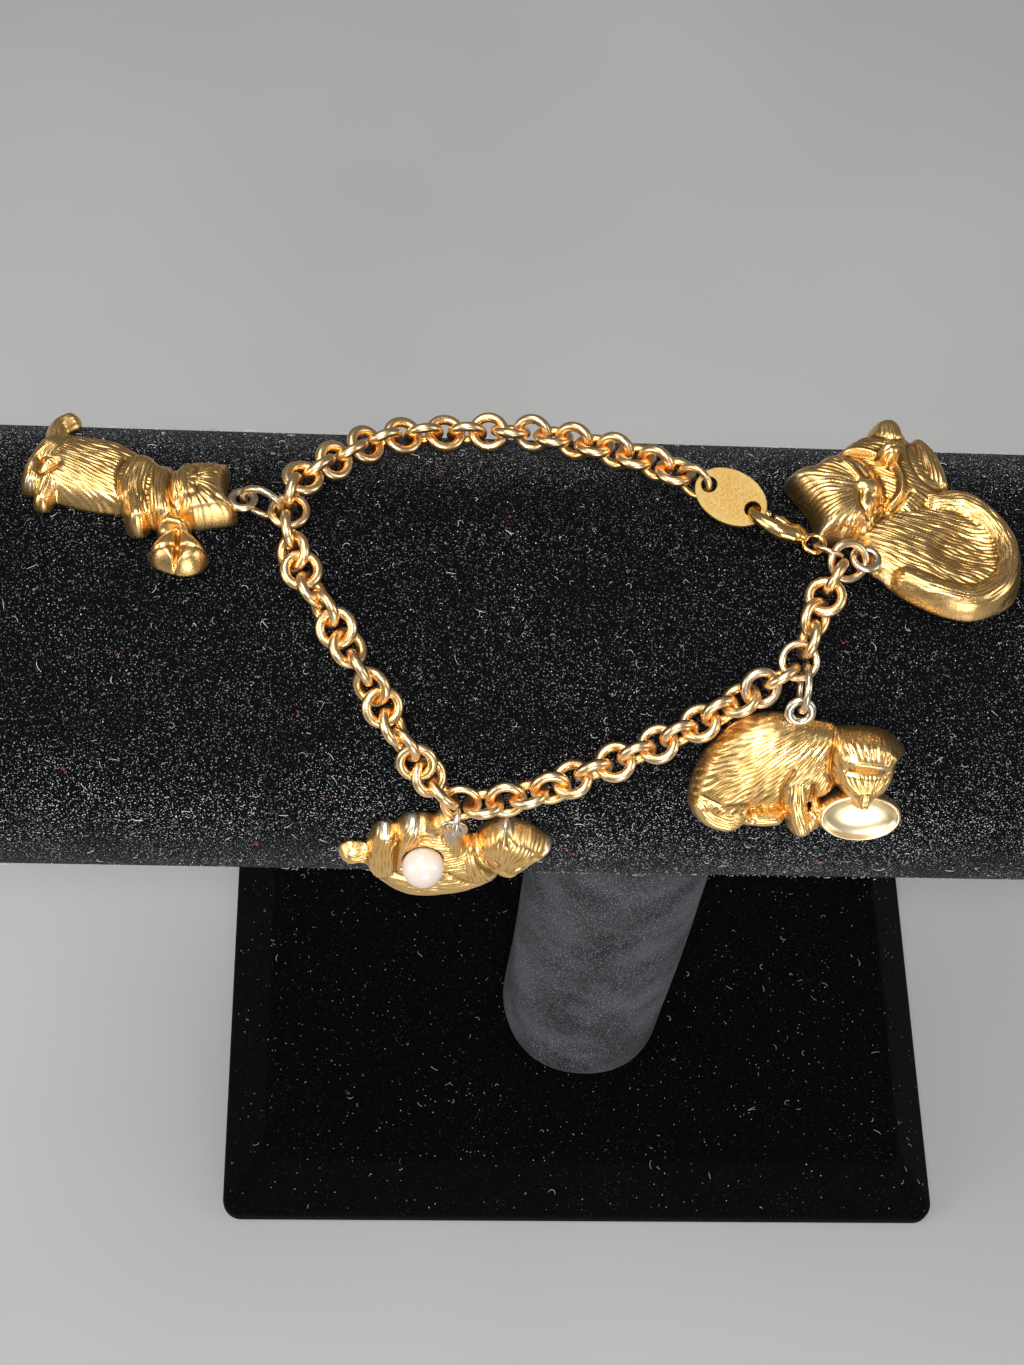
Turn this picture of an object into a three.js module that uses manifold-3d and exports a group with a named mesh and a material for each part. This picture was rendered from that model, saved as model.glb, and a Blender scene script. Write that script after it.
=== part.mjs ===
// A charm bracelet of round cable links with four cast cat charms, laid over the bar of a display stand.
// Millimetres, +Z up. Origin: the centre of the underside of the base. The bar lies along X, -Y is its front.
import * as THREE from "three";
import { mergeVertices } from "three/addons/utils/BufferGeometryUtils.js";
import Module from "manifold-3d";

const wasm = await Module();
wasm.setup();
const { PI, sin, cos, abs, max } = Math;
const rad = THREE.MathUtils.degToRad;
const vec = (x, y, z) => new THREE.Vector3(x, y, z);

// ---- Driving dimensions --------------------------------------------------------------------------
const GAP = 0.3; // between neighbours that touch

const BASE = { length: 120, depth: 70, height: 11.7, rim: 3.2, bevel: 7, corner: 3 };
const STEM_RADIUS = 13.6;
const BAR = { radius: 27, length: 200, axisHeight: 130.6, edge: 1.2, sides: 72 };

const LINK = { wire: 1.15, radius: 1.8, pitch: 2.58 }; // a chain link: wire thickness, centre-line radius
const TWIST_EASE = 0.7; // how many links of a twisted stretch are free of twist at each end
// A link that a ring hangs on has the same outside size and more room inside.
const SLIM = { wire: 0.74, radius: 1.98, steps: 12 };
const RING_WIRE = 0.76; // of the charms' jump rings
const THREAD = 0.92; // how far off a link's centre a jump ring's wire goes through it

const TAG = { length: 9, width: 6.3, thickness: 0.8, hole: 0.95, holeAt: 2.95, tilt: -24 };
const CLASP = { x: 8.3, angle: -3, height: 2.4, heading: -34.7, tilt: 33 };
const PIN = { radius: 0.2, hole: 0.34 }; // the lever's pin and the hole that it turns in
const EYE = { radius: 1.2, wire: 0.6, at: 5.0 };

// The bracelet's route over the bar: x along the bar, angle round it from the top, + towards the front. Each
// stop is a ring or link that something hangs on. Roll 90 lies flat, roll 0 stands on edge. Plain is how many
// links beside the stop keep to those two positions before the chain leans over to 45 degrees. Where the chain
// after a stop is twisted evenly instead, twist is how far it turns in all, beginning and ending gently.
const ROUTE = [
  { x: -0.78, angle: -15.1, stop: "tag_ring", roll: 0, plain: 8 },
  { x: -4.6, angle: -20.6 },
  { x: -12, angle: -28.5 },
  { x: -21.5, angle: -35.8 },
  { x: -30.5, angle: -35.6 },
  { x: -37.1, angle: -31 },
  { x: -42.4, angle: -21 },
  { x: -46.7, angle: -11 },
  { x: -47.7, angle: -2.4, stop: "bow_cat_link", roll: 90, plain: 1, twist: 540 },
  { x: -46.9, angle: 8.5 },
  { x: -42, angle: 25 },
  { x: -38, angle: 37.3 },
  { x: -33.4, angle: 52.6 },
  { x: -27.4, angle: 65.2, stop: "pearl_cat_link", roll: 90, plain: 3 },
  { x: -20, angle: 62.6 },
  { x: -12, angle: 56 },
  { x: -2.9, angle: 47 },
  { x: 5, angle: 37.2 },
  { x: 10.4, angle: 29.7, stop: "bowl_cat_link", roll: 90, plain: 1 },
  { x: 12, angle: 21.5 },
  { x: 14.2, angle: 12.2 },
  { x: 16.1, angle: 6.2, stop: "end_ring", roll: 90, plain: 2 },
];

// The two rings that close the bracelet, each with the direction of its axis.
const END_RINGS = [
  {
    name: "end_ring",
    place: { x: 16.22, angle: 6.81, height: 2.69 },
    size: { radius: 2.1, wire: 0.72 },
    axis: [0.19, -0.64, 0.75],
  },
  {
    name: "jump_link",
    place: { x: 13.86, angle: 4.78, height: 3.1 },
    size: { radius: 1.6, wire: 0.5 },
    axis: [0.34, 0.78, 0.52],
  },
];

// Each charm is cast with a flat back in a plane that touches the bar at an angle. Its own coordinates are u
// along the bar, v round it towards the front from that line of contact, and w out from the bar. A limb is a
// tapered rod with round ends from (u, v) to (u2, v2), radius r to r2, its middle at height w and as thick as
// flat times its width.
const BACK = 0.35;
const CHARMS = {
  bow_cat: {
    angle: -8,
    loop: { u: -53, v: 1.1, w: 2.1, inner: 0.8, wire: 0.95, thick: 0.8 },
    limbs: [
      { u: -73.3, v: -3.9, r: 4.5, u2: -67.2, v2: -2.5, r2: 5.1, w: 1.9, flat: 0.5 }, // trunk
      { u: -75, v: -3.2, r: 2.9, u2: -77.2, v2: -1.2, r2: 1.2, w: 1.9, flat: 0.7 }, // hind foot
      { u: -74.4, v: -1, r: 2.2, u2: -75.6, v2: 1.3, r2: 1.2, w: 2.2, flat: 0.8 }, // nearer hind foot
      { u: -66, v: -1.6, r: 4.3, u2: -62.6, v2: -0.4, r2: 3, w: 2, flat: 0.55 }, // chest
      { u: -65.2, v: -1, r: 1.9, u2: -64.6, v2: 4.7, r2: 1.4, w: 2.6, flat: 0.8 }, // foreleg
      { u: -58.9, v: 0.2, r: 3.9, u2: -57.4, v2: 0.1, r2: 3.9, w: 2.3, flat: 0.6 }, // head
      { u: -57.2, v: -2.3, r: 1.9, u2: -55.2, v2: -3.5, r2: 0.6, w: 2.3, flat: 0.6 }, // ears
      { u: -56.4, v: 2.2, r: 1.9, u2: -53.9, v2: 2.7, r2: 0.6, w: 2.3, flat: 0.6 },
      { u: -75.2, v: -6.6, r: 1.25, u2: -75, v2: -10.4, r2: 1.25, w: 1.7, flat: 0.9 }, // tail
      { u: -75, v: -10.4, r: 1.25, u2: -73.4, v2: -11.6, r2: 1.1, w: 1.7, flat: 0.9 },
      { u: -61, v: 4.6, r: 1.5, u2: -60.3, v2: 5.4, r2: 1.4, w: 2.4, flat: 0.9 }, // bow's knot
      { u: -60.6, v: 6, r: 1.1, u2: -61.4, v2: 8.5, r2: 1.9, w: 1.9, flat: 0.6 }, // bow's loops
      { u: -60, v: 6, r: 1.1, u2: -58.5, v2: 9, r2: 2, w: 1.9, flat: 0.6 },
    ],
  },
  pearl_cat: {
    angle: 80,
    loop: { u: -28.1, v: -3.1, w: 2.1, inner: 0.8, wire: 0.95, thick: 0.8 },
    limbs: [
      { u: -34.5, v: 4.6, r: 4.4, u2: -27.5, v2: 4.6, r2: 4.9, w: 1.9, flat: 0.5 }, // trunk
      { u: -30.5, v: 7, r: 3.9, u2: -27.5, v2: 6.2, r2: 4, w: 1.9, flat: 0.55 }, // back
      { u: -26.8, v: 2.6, r: 3.6, u2: -24, v2: 3.2, r2: 3.4, w: 2.1, flat: 0.6 }, // shoulder
      { u: -21.6, v: 0.7, r: 4, u2: -20.2, v2: -0.6, r2: 3.7, w: 2.3, flat: 0.65 }, // head
      { u: -22, v: -1.6, r: 1.8, u2: -22, v2: -4.1, r2: 0.6, w: 2.2, flat: 0.6 }, // ears
      { u: -19, v: 0, r: 1.9, u2: -16.7, v2: 0.4, r2: 0.6, w: 2.2, flat: 0.6 },
      { u: -32.2, v: 0.6, r: 2.3, u2: -31.2, v2: -2.5, r2: 1.5, w: 2.3, flat: 0.7 }, // forepaw
      { u: -28.4, v: 0.6, r: 2.2, u2: -28.3, v2: -0.6, r2: 1.6, w: 2, flat: 0.7 }, // elbow
      { u: -35.4, v: 3.2, r: 2.9, u2: -35.3, v2: -1.1, r2: 1.4, w: 2.1, flat: 0.7 }, // hind leg
      { u: -36.6, v: 3.2, r: 1.8, u2: -39.6, v2: 3.5, r2: 1.5, w: 2, flat: 0.8 }, // hind foot
    ],
  },
  bowl_cat: {
    angle: 55,
    loop: { u: 10.75, v: -7.25, w: 1.7, inner: 0.8, wire: 1.05, thick: 0.8 },
    limbs: [
      { u: 5.4, v: 0.3, r: 6.2, u2: 9, v2: -0.8, r2: 5.4, w: 1.8, flat: 0.45 }, // trunk
      { u: 3.2, v: 4.6, r: 4, u2: 3.8, v2: 5.2, r2: 3.4, w: 2, flat: 0.6 }, // thigh
      { u: 5, v: 6.6, r: 1.5, u2: 9, v2: 6.6, r2: 1.2, w: 2.3, flat: 0.8 }, // hind paw
      { u: 11.4, v: -1.6, r: 4.2, u2: 16, v2: -1.2, r2: 3.6, w: 1.9, flat: 0.55 }, // neck
      { u: 11.4, v: 0, r: 2.2, u2: 12.3, v2: 7.2, r2: 1.4, w: 2.1, flat: 0.8 }, // foreleg
      { u: 13.4, v: 3, r: 1.2, u2: 14.2, v2: 7.2, r2: 1.2, w: 1.7, flat: 0.8 }, // far foreleg
      { u: 18.4, v: -0.8, r: 4.1, u2: 19.2, v2: 0.6, r2: 3.9, w: 2.3, flat: 0.6 }, // head
      { u: 17.8, v: -2.9, r: 1.8, u2: 17.1, v2: -4.2, r2: 0.6, w: 2.3, flat: 0.6 }, // ears
      { u: 21.4, v: -2.4, r: 1.7, u2: 22.9, v2: -2.9, r2: 0.6, w: 2.3, flat: 0.6 },
      { u: 18.9, v: 2.6, r: 1.7, u2: 18.9, v2: 3.4, r2: 1.5, w: 2.9, flat: 0.8 }, // muzzle
    ],
  },
  curled_cat: {
    angle: -3,
    loop: { u: 18.3, v: 4.6, w: 2.15, inner: 0.97, wire: 0.9, thick: 0.8 },
    limbs: [
      { u: 22.2, v: -9, r: 5.2, u2: 24.6, v2: -4.2, r2: 5.2, w: 1.9, flat: 0.5 }, // trunk
      { u: 22.8, v: -14, r: 1.8, u2: 23.4, v2: -11, r2: 2.6, w: 2, flat: 0.7 }, // raised paw
      { u: 26, v: -9, r: 3.4, u2: 26.8, v2: -5, r2: 3, w: 2, flat: 0.6 }, // haunch
      { u: 20.6, v: 0.6, r: 3.2, u2: 24.4, v2: 4.4, r2: 4.6, w: 1.8, flat: 0.45 }, // breast
      { u: 26.2, v: -0.8, r: 4, u2: 30.4, v2: 3, r2: 4.2, w: 1.7, flat: 0.4 }, // lap
      { u: 29, v: -3.6, r: 1.7, u2: 32.8, v2: -2.4, r2: 1.6, w: 2, flat: 0.8 }, // tail, round the lap
      { u: 32.8, v: -2.4, r: 1.6, u2: 35.1, v2: 2.4, r2: 1.5, w: 2, flat: 0.8 },
      { u: 35.1, v: 2.4, r: 1.5, u2: 33.6, v2: 7.6, r2: 1.5, w: 2, flat: 0.8 },
      { u: 33.6, v: 7.6, r: 1.5, u2: 29.6, v2: 9.9, r2: 1.6, w: 2, flat: 0.8 },
      { u: 29.6, v: 9.9, r: 1.6, u2: 24, v2: 7.6, r2: 1.8, w: 2, flat: 0.8 },
      { u: 16.6, v: -5, r: 4.3, u2: 16.8, v2: -2.6, r2: 3.9, w: 2.4, flat: 0.6 }, // head
      { u: 13, v: -6.4, r: 2, u2: 10.6, v2: -6.7, r2: 0.6, w: 2.3, flat: 0.6 }, // ears
      { u: 14.4, v: -0.8, r: 1.8, u2: 13.3, v2: 1.6, r2: 0.6, w: 3.7, flat: 0.5 },
      { u: 18.6, v: -4.2, r: 1.7, u2: 19.2, v2: -4.2, r2: 1.5, w: 2.9, flat: 0.8 }, // muzzle
      { u: 22.1, v: -9.1, r: 1.2, u2: 22.3, v2: -9.1, r2: 1.2, w: 4, flat: 1 }, // bell on the collar
    ],
  },
};
const PEARL = { u: -31.4, v: 1.4, w: 4.4, radius: 2.5 };
const BOWL = { u: 19, v: 5.95, along: 5.05, across: 3.1, foot: 0.2, shoulder: 1.4, top: 2.8, floor: 1.75 };

// The lobster clasp in its own plane: a along it away from the tag, b across it to the side of the solid arm.
const HOOK = [
  { a: -1.55, b: -1.2, r: 0.36 },
  { a: -2.5, b: -1.15, r: 0.42 },
  { a: -3, b: -0.6, r: 0.44 },
  { a: -3.1, b: 0, r: 0.44 },
  { a: -3, b: 0.65, r: 0.46 },
  { a: -2.4, b: 1.3, r: 0.55 },
  { a: -0.8, b: 1.75, r: 0.72 },
  { a: 1, b: 1.65, r: 0.85 },
  { a: 2.5, b: 0.7, r: 0.95 },
];
const SHANK = { a: 2.5, b: -0.2, alongRadius: 1.6, acrossRadius: 1.45, thickRadius: 0.95 };
const PIVOT = { a: 2.2, b: -0.8 };
const SLOT = { a: 1.6, b: -1.55, length: 2.7, width: 3, thickness: 1 };
const LEVER_THICKNESS = 0.38;
const LEVER = [
  { a: 2.2, b: -0.8, r: 0.55 },
  { a: 0.9, b: -1.5, r: 0.6 },
  { a: -0.5, b: -1.4, r: 0.42 },
];
const THUMB = [
  { a: 0.6, b: -1.7, r: 0.5 },
  { a: 0, b: -2.2, r: 0.4 },
];

// ---- Solids and placing --------------------------------------------------------------------------
function solid(geometry) {
  const plain = geometry.clone().deleteAttribute("normal").deleteAttribute("uv");
  const merged = mergeVertices(plain, 1e-4);
  const vertProperties = merged.attributes.position.array;
  const triVerts = new Uint32Array(merged.index.array);
  return new wasm.Manifold(new wasm.Mesh({ numProp: 3, vertProperties, triVerts }));
}

const union = (solids) => solids.reduce((whole, one) => whole.add(one));

function meshed(name, shape, material) {
  const { numProp, numVert, vertProperties, triVerts } = shape.getMesh();
  const points = new Float32Array(numVert * 3);
  for (let i = 0; i < numVert; i++) {
    points.set(vertProperties.subarray(i * numProp, i * numProp + 3), i * 3);
  }
  const geometry = new THREE.BufferGeometry();
  geometry.setAttribute("position", new THREE.BufferAttribute(points, 3));
  geometry.setIndex(new THREE.BufferAttribute(triVerts, 1));
  const mesh = new THREE.Mesh(geometry, material);
  mesh.name = name;
  return mesh;
}

// Where (x, angle) is at a height over the bar, and the bar's outward normal there.
const outward = (angle) => vec(0, -sin(rad(angle)), cos(rad(angle)));
const axisPoint = (x) => vec(x, 0, BAR.axisHeight);
const onBar = (x, angle, height) => axisPoint(x).addScaledVector(outward(angle), BAR.radius + height);

// The frame of a charm's plane: columns u, v and w, origin on the bar's surface below x = 0.
function planeFrame(angle) {
  const w = outward(angle);
  const v = vec(0, -cos(rad(angle)), -sin(rad(angle)));
  const u = vec(1, 0, 0);
  // u, v, w is left-handed, so charms are shaped in (u, -v, w) and both signs of v are turned here.
  return new THREE.Matrix4().makeBasis(u, v.negate(), w).setPosition(onBar(0, angle, 0));
}

// A rod with round ends whose radius goes from r to r2, lying flat, squashed in z and lifted to w.
function taperedRod({ x, y, r, x2, y2, r2, w, flat }, sides = 8, arc = 3) {
  const length = Math.hypot(x2 - x, y2 - y);
  const profile = [];
  const lean = Math.asin((r - r2) / max(length, abs(r - r2) + 1e-6));
  for (let i = 0; i <= arc; i++) {
    const t = -PI / 2 + ((PI / 2 + lean) * i) / arc;
    profile.push(new THREE.Vector2(i === 0 ? 0 : r * cos(t), r * sin(t)));
  }
  for (let i = 0; i <= arc; i++) {
    const t = lean + ((PI / 2 - lean) * i) / arc;
    profile.push(new THREE.Vector2(i === arc ? 0 : r2 * cos(t), length + r2 * sin(t)));
  }
  const turn = Math.atan2(y2 - y, x2 - x) - PI / 2;
  return new THREE.LatheGeometry(profile, sides)
    .scale(1, 1, flat)
    .rotateZ(turn)
    .translate(x, y, w);
}

// A closed ring of wire with its axis along `axis`, its first vertex towards `start`.
function ring({ radius, wire, wireSides = 8, steps = 16 }, centre, start, axis) {
  const z = axis.clone().normalize();
  const x = start.clone().addScaledVector(z, -start.dot(z)).normalize();
  const frame = new THREE.Matrix4().makeBasis(x, z.clone().cross(x), z).setPosition(centre);
  return new THREE.TorusGeometry(radius, wire / 2, wireSides, steps).applyMatrix4(frame);
}

// ---- Materials -----------------------------------------------------------------------------------
function finish(color, roughness, metalness) {
  return new THREE.MeshStandardMaterial({ color, roughness, metalness });
}
const gold = finish(0xd9a95c, 0.3, 1);
const palePlate = finish(0xb9b6a8, 0.38, 1);
const nacre = finish(0xf6e9e0, 0.2, 0);
const velvet = finish(0x0c0c0e, 0.95, 0);
const greyVelvet = finish(0x2b2d33, 0.95, 0);

// ---- The display stand ---------------------------------------------------------------------------
function standBase() {
  const { length, depth, height, rim, bevel, corner } = BASE;
  const outline = (inset) => {
    const [a, b] = [length / 2 - inset, depth / 2 - inset];
    const shape = new THREE.Shape();
    shape.absarc(a - corner, b - corner, corner, 0, PI / 2);
    shape.absarc(corner - a, b - corner, corner, PI / 2, PI);
    shape.absarc(corner - a, corner - b, corner, PI, 1.5 * PI);
    shape.absarc(a - corner, corner - b, corner, 1.5 * PI, 2 * PI);
    return shape.closePath().extractPoints(4).shape.slice(0, -1);
  };
  const [foot, top] = [outline(0), outline(bevel)];
  const layers = [
    { points: foot, z: 0 },
    { points: foot, z: rim },
    { points: top, z: height },
  ];
  const count = foot.length;
  const positions = layers.flatMap(({ points, z }) => points.flatMap((p) => [p.x, p.y, z]));
  positions.push(0, 0, 0, 0, 0, height);
  const index = [];
  for (let i = 0; i < count; i++) {
    const j = (i + 1) % count;
    for (const low of [0, count]) {
      index.push(low + i, low + j, low + count + j, low + i, low + count + j, low + count + i);
    }
    index.push(3 * count, j, i, 3 * count + 1, 2 * count + i, 2 * count + j);
  }
  const geometry = new THREE.BufferGeometry();
  geometry.setAttribute("position", new THREE.Float32BufferAttribute(positions, 3));
  geometry.setIndex(index);
  return meshed("stand_base", solid(geometry), velvet);
}

function barGeometry(grow = 0) {
  const { length, radius, edge, sides, axisHeight } = BAR;
  const [half, r] = [length / 2 + grow, radius + grow];
  const profile = [
    [0, -half],
    [r - edge, -half],
    [r, -half + edge],
    [r, half - edge],
    [r - edge, half],
    [0, half],
  ].map(([a, b]) => new THREE.Vector2(a, b));
  return new THREE.LatheGeometry(profile, sides).rotateZ(-PI / 2).translate(0, 0, axisHeight);
}

function standStem() {
  const [foot, top] = [BASE.height + GAP, BAR.axisHeight];
  const post = new THREE.CylinderGeometry(STEM_RADIUS, STEM_RADIUS, top - foot, 40).rotateX(PI / 2);
  const shape = solid(post.translate(0, 0, (foot + top) / 2)).subtract(solid(barGeometry(GAP)));
  return meshed("stand_stem", shape, greyVelvet);
}

const standBar = () => meshed("stand_bar", solid(barGeometry()), velvet);

// ---- The chain -----------------------------------------------------------------------------------
// A stretch of the route from one stop to the next: where each link is, which way it runs and how it is rolled.
function stretch(from, to) {
  const middle = BAR.radius + LINK.radius;
  const flatPoint = ({ x, angle }) => vec(x, middle * rad(angle), 0);
  const curve = new THREE.CatmullRomCurve3(ROUTE.map(flatPoint), false, "centripetal");
  curve.arcLengthDivisions = 2000;
  const samples = curve.getSpacedPoints(4000);
  const nearest = (stop) => {
    const gaps = samples.map((p) => p.distanceTo(flatPoint(stop)));
    return gaps.indexOf(Math.min(...gaps)) / 4000;
  };
  const [start, end] = [nearest(from), nearest(to)];
  const count = Math.round(((end - start) * curve.getLength()) / LINK.pitch);
  const wholeTurns = (from.roll + 90 * count - to.roll) % 180; // 0 or 90: what the leaning must add up to
  return Array.from({ length: count + 1 }, (_, k) => {
    const at = start + ((end - start) * k) / count;
    const p = curve.getPointAt(at);
    const tangent = curve.getTangentAt(at);
    const clear = 45 * THREE.MathUtils.smoothstep(k, from.plain, from.plain + 3);
    const near = 45 * THREE.MathUtils.smoothstep(k, count - to.plain - 3, count - to.plain);
    const share = THREE.MathUtils.clamp((k - TWIST_EASE) / (count - 2 * TWIST_EASE), 0, 1);
    const lean = from.twist ? from.twist * share : clear + (wholeTurns ? near : -near);
    const roll = from.roll + 90 * k + lean;
    return placedLink({ x: p.x, angle: THREE.MathUtils.radToDeg(p.y / middle), roll, tangent });
  });
}

function placedLink({ x, angle, roll, tangent }) {
  const [s, c] = [sin(rad(roll)), cos(rad(roll))];
  const height = LINK.wire / 2 + LINK.radius * max(abs(s), abs(c)) + 0.05;
  const normal = outward(angle);
  const forward = vec(0, -cos(rad(angle)), -sin(rad(angle)));
  const along = vec(tangent.x, 0, 0).addScaledVector(forward, tangent.y).normalize();
  const side = along.clone().cross(normal);
  const upright = normal.clone().multiplyScalar(c).addScaledVector(side, s);
  return { centre: onBar(x, angle, height), along, normal, axis: along.clone().cross(upright) };
}

function linkRing(size, { centre, along, axis }) {
  return solid(ring({ wireSides: 6, steps: 8, ...size }, centre, along, axis));
}

const stops = ROUTE.filter((row) => row.stop);
const stretches = stops.slice(1).map((to, i) => stretch(stops[i], to));

function chainParts() {
  const sections = stretches.map((links, i) => {
    const inner = links.slice(1, -1).map((link) => linkRing(LINK, link));
    return meshed("chain_" + (i + 1), union(inner), gold);
  });
  const carriers = stretches.slice(0, -1).map((links, i) => {
    return meshed(stops[i + 1].stop, linkRing(SLIM, links.at(-1)), gold);
  });
  return [...sections, ...carriers];
}

// ---- The charms ----------------------------------------------------------------------------------
const inPlane = (charm, { u, v, w }) => vec(u, -v, w).applyMatrix4(planeFrame(charm.angle));

function charmSolid(charm, extras = []) {
  const limbs = charm.limbs.map(({ u, v, r, u2, v2, r2, w, flat }) =>
    solid(taperedRod({ x: u, y: -v, r, x2: u2, y2: -v2, r2, w, flat })),
  );
  const { loop } = charm;
  const centre = vec(loop.u, -loop.v, loop.w);
  const eyelet = new THREE.TorusGeometry(loop.inner + loop.wire / 2, loop.wire / 2, 6, 12);
  eyelet.scale(1, 1, loop.thick).translate(...centre.toArray());
  const hole = new THREE.CylinderGeometry(loop.inner, loop.inner, 8, 12).rotateX(PI / 2);
  hole.translate(...centre.toArray());
  const behind = new THREE.BoxGeometry(200, 200, 20).translate(0, 0, BACK - 10);
  return union([...limbs, solid(eyelet), ...extras])
    .subtract(solid(hole))
    .subtract(solid(behind));
}

function charm(name, extras, cuts = []) {
  const shape = cuts.reduce((whole, cut) => whole.subtract(cut), charmSolid(CHARMS[name], extras));
  return meshed(name, shape.transform(planeFrame(CHARMS[name].angle).toArray()), gold);
}

// The bowl is cast in relief too: a turned cup with a rim, drawn in to an oval across the plane.
function bowlSolid() {
  const { u, v, along, across, foot, shoulder, top, floor } = BOWL;
  const profile = [
    [0, foot],
    [0.85, foot],
    [1, shoulder],
    [0.98, top - 0.3],
    [0.93, top],
    [0.87, top],
    [0.7, floor + 0.35],
    [0, floor],
  ].map(([a, b]) => new THREE.Vector2(a, b));
  const cup = new THREE.LatheGeometry(profile, 24).rotateX(PI / 2);
  return solid(cup.scale(along, across, 1).translate(u, -v, 0));
}

function pearlParts() {
  const ball = (radius) => new THREE.SphereGeometry(radius, 20, 14).translate(PEARL.u, -PEARL.v, PEARL.w);
  const frame = planeFrame(CHARMS.pearl_cat.angle);
  const pearl = meshed("pearl", solid(ball(PEARL.radius).applyMatrix4(frame)), nacre);
  return [pearl, charm("pearl_cat", [], [solid(ball(PEARL.radius + 0.25))])];
}

// A jump ring stands on the bar, through the side of the link that carries it and through the charm's loop.
function jumpRing(name, link, charmName) {
  const shape = CHARMS[charmName];
  const loop = inPlane(shape, shape.loop);
  const side = link.along.clone().cross(link.normal);
  const towards = loop.clone().sub(link.centre).dot(side) > 0 ? THREAD : -THREAD;
  const through = link.centre.clone().addScaledVector(side, towards);
  const reach = loop.sub(through);
  const radius = (reach.length() - 0.1) / 2;
  const level = reach.clone().addScaledVector(link.normal, -reach.dot(link.normal)).normalize();
  const centre = through.addScaledVector(reach.normalize(), radius);
  const height = Math.hypot(centre.y, centre.z - BAR.axisHeight) - BAR.radius;
  centre.addScaledVector(link.normal, max(0, radius + RING_WIRE / 2 + 0.15 - height));
  const axis = level.clone().cross(link.normal);
  return meshed(name, solid(ring({ radius, wire: RING_WIRE }, centre, level, axis)), palePlate);
}

// ---- The tag, clasp and end rings ----------------------------------------------------------------

// The clasp and tag share one straight line over the bar.
function claspLine() {
  const { x, angle, height, heading } = CLASP;
  const normal = outward(angle);
  const along = vec(1, 0, 0).applyAxisAngle(normal, rad(heading));
  return { centre: onBar(x, angle, height), along, side: along.clone().cross(normal), normal };
}

function tilted({ centre, along, side, normal }, degrees, a = 0) {
  const turned = side.clone().multiplyScalar(cos(rad(degrees))).addScaledVector(normal, sin(rad(degrees)));
  const place = centre.clone().addScaledVector(along, a);
  return new THREE.Matrix4().makeBasis(along, turned, along.clone().cross(turned)).setPosition(place);
}

function strand(rows, thick) {
  const rods = rows.slice(1).map((to, i) => {
    const from = rows[i];
    const flat = thick ? thick / max(from.r, to.r) : 1;
    const ends = { x: from.a, y: from.b, r: from.r, x2: to.a, y2: to.b, r2: to.r };
    return solid(taperedRod({ ...ends, w: 0, flat }, 8, 2));
  });
  return union(rods);
}

// A round pin or hole through the clasp's plane at (a, b).
function pin(radius, length, { a, b }) {
  return solid(new THREE.CylinderGeometry(radius, radius, length, 16).rotateX(PI / 2).translate(a, b, 0));
}

function claspBody(frame) {
  const { a, b, alongRadius, acrossRadius, thickRadius } = SHANK;
  const shank = new THREE.SphereGeometry(1, 14, 10).scale(alongRadius, acrossRadius, thickRadius);
  const slot = new THREE.BoxGeometry(SLOT.length, SLOT.width, SLOT.thickness).translate(SLOT.a, SLOT.b, 0);
  const neck = { x: 3.4, y: 0, r: 0.55, x2: EYE.at - EYE.radius, y2: 0, r2: 0.35, w: 0, flat: 1 };
  const eye = new THREE.TorusGeometry(EYE.radius, EYE.wire / 2, 8, 16).rotateX(rad(CLASP.tilt));
  return union([strand(HOOK), solid(shank.translate(a, b, 0))])
    .subtract(solid(slot))
    .add(pin(PIN.radius, 2 * thickRadius - 0.2, PIVOT))
    .add(solid(taperedRod(neck)))
    .add(solid(eye.translate(EYE.at, 0, 0)))
    .transform(frame.toArray());
}

function claspLever(frame) {
  return strand(LEVER, LEVER_THICKNESS)
    .add(strand(THUMB, LEVER_THICKNESS))
    .subtract(pin(PIN.hole, 3, PIVOT))
    .transform(frame.toArray());
}

function tag(frame) {
  const { length, width, thickness, hole, holeAt } = TAG;
  const outline = new THREE.Shape().absellipse(0, 0, length / 2, width / 2, 0, 2 * PI);
  for (const side of [-1, 1]) {
    outline.holes.push(new THREE.Path().absarc(side * holeAt, 0, hole, 0, 2 * PI));
  }
  const bevel = 0.15;
  const plate = new THREE.ExtrudeGeometry(outline, {
    depth: thickness - 2 * bevel,
    bevelThickness: bevel,
    bevelSize: bevel,
    bevelOffset: -bevel,
    bevelSegments: 1,
    curveSegments: 10,
  });
  return meshed("tag", solid(plate.translate(0, 0, -thickness / 2 + bevel)).transform(frame.toArray()), gold);
}

function claspParts() {
  const base = claspLine();
  const frame = tilted(base, CLASP.tilt);
  const tagCentre = HOOK[3].a - TAG.holeAt - 0.1;
  const tagFrame = tilted(base, TAG.tilt, tagCentre);
  return [
    meshed("clasp_body", claspBody(frame), gold),
    meshed("clasp_lever", claspLever(frame), gold),
    tag(tagFrame),
  ];
}

function endRings() {
  return END_RINGS.map(({ name, place, size, axis }) => {
    const centre = onBar(place.x, place.angle, place.height);
    const shape = ring(size, centre, outward(place.angle), vec(...axis));
    return meshed(name, solid(shape), name === "end_ring" ? palePlate : gold);
  });
}

// ---- The whole -----------------------------------------------------------------------------------
const bracelet = new THREE.Group();
bracelet.add(standBase(), standStem(), standBar(), ...chainParts(), ...claspParts(), ...endRings());
bracelet.add(meshed("tag_ring", linkRing(SLIM, stretches[0][0]), gold));
bracelet.add(charm("bow_cat"), charm("bowl_cat", [bowlSolid()]), charm("curled_cat"), ...pearlParts());
["bow_cat", "pearl_cat", "bowl_cat"].forEach((name, i) => {
  bracelet.add(jumpRing(name + "_ring", stretches[i].at(-1), name));
});

export default bracelet;
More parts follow.
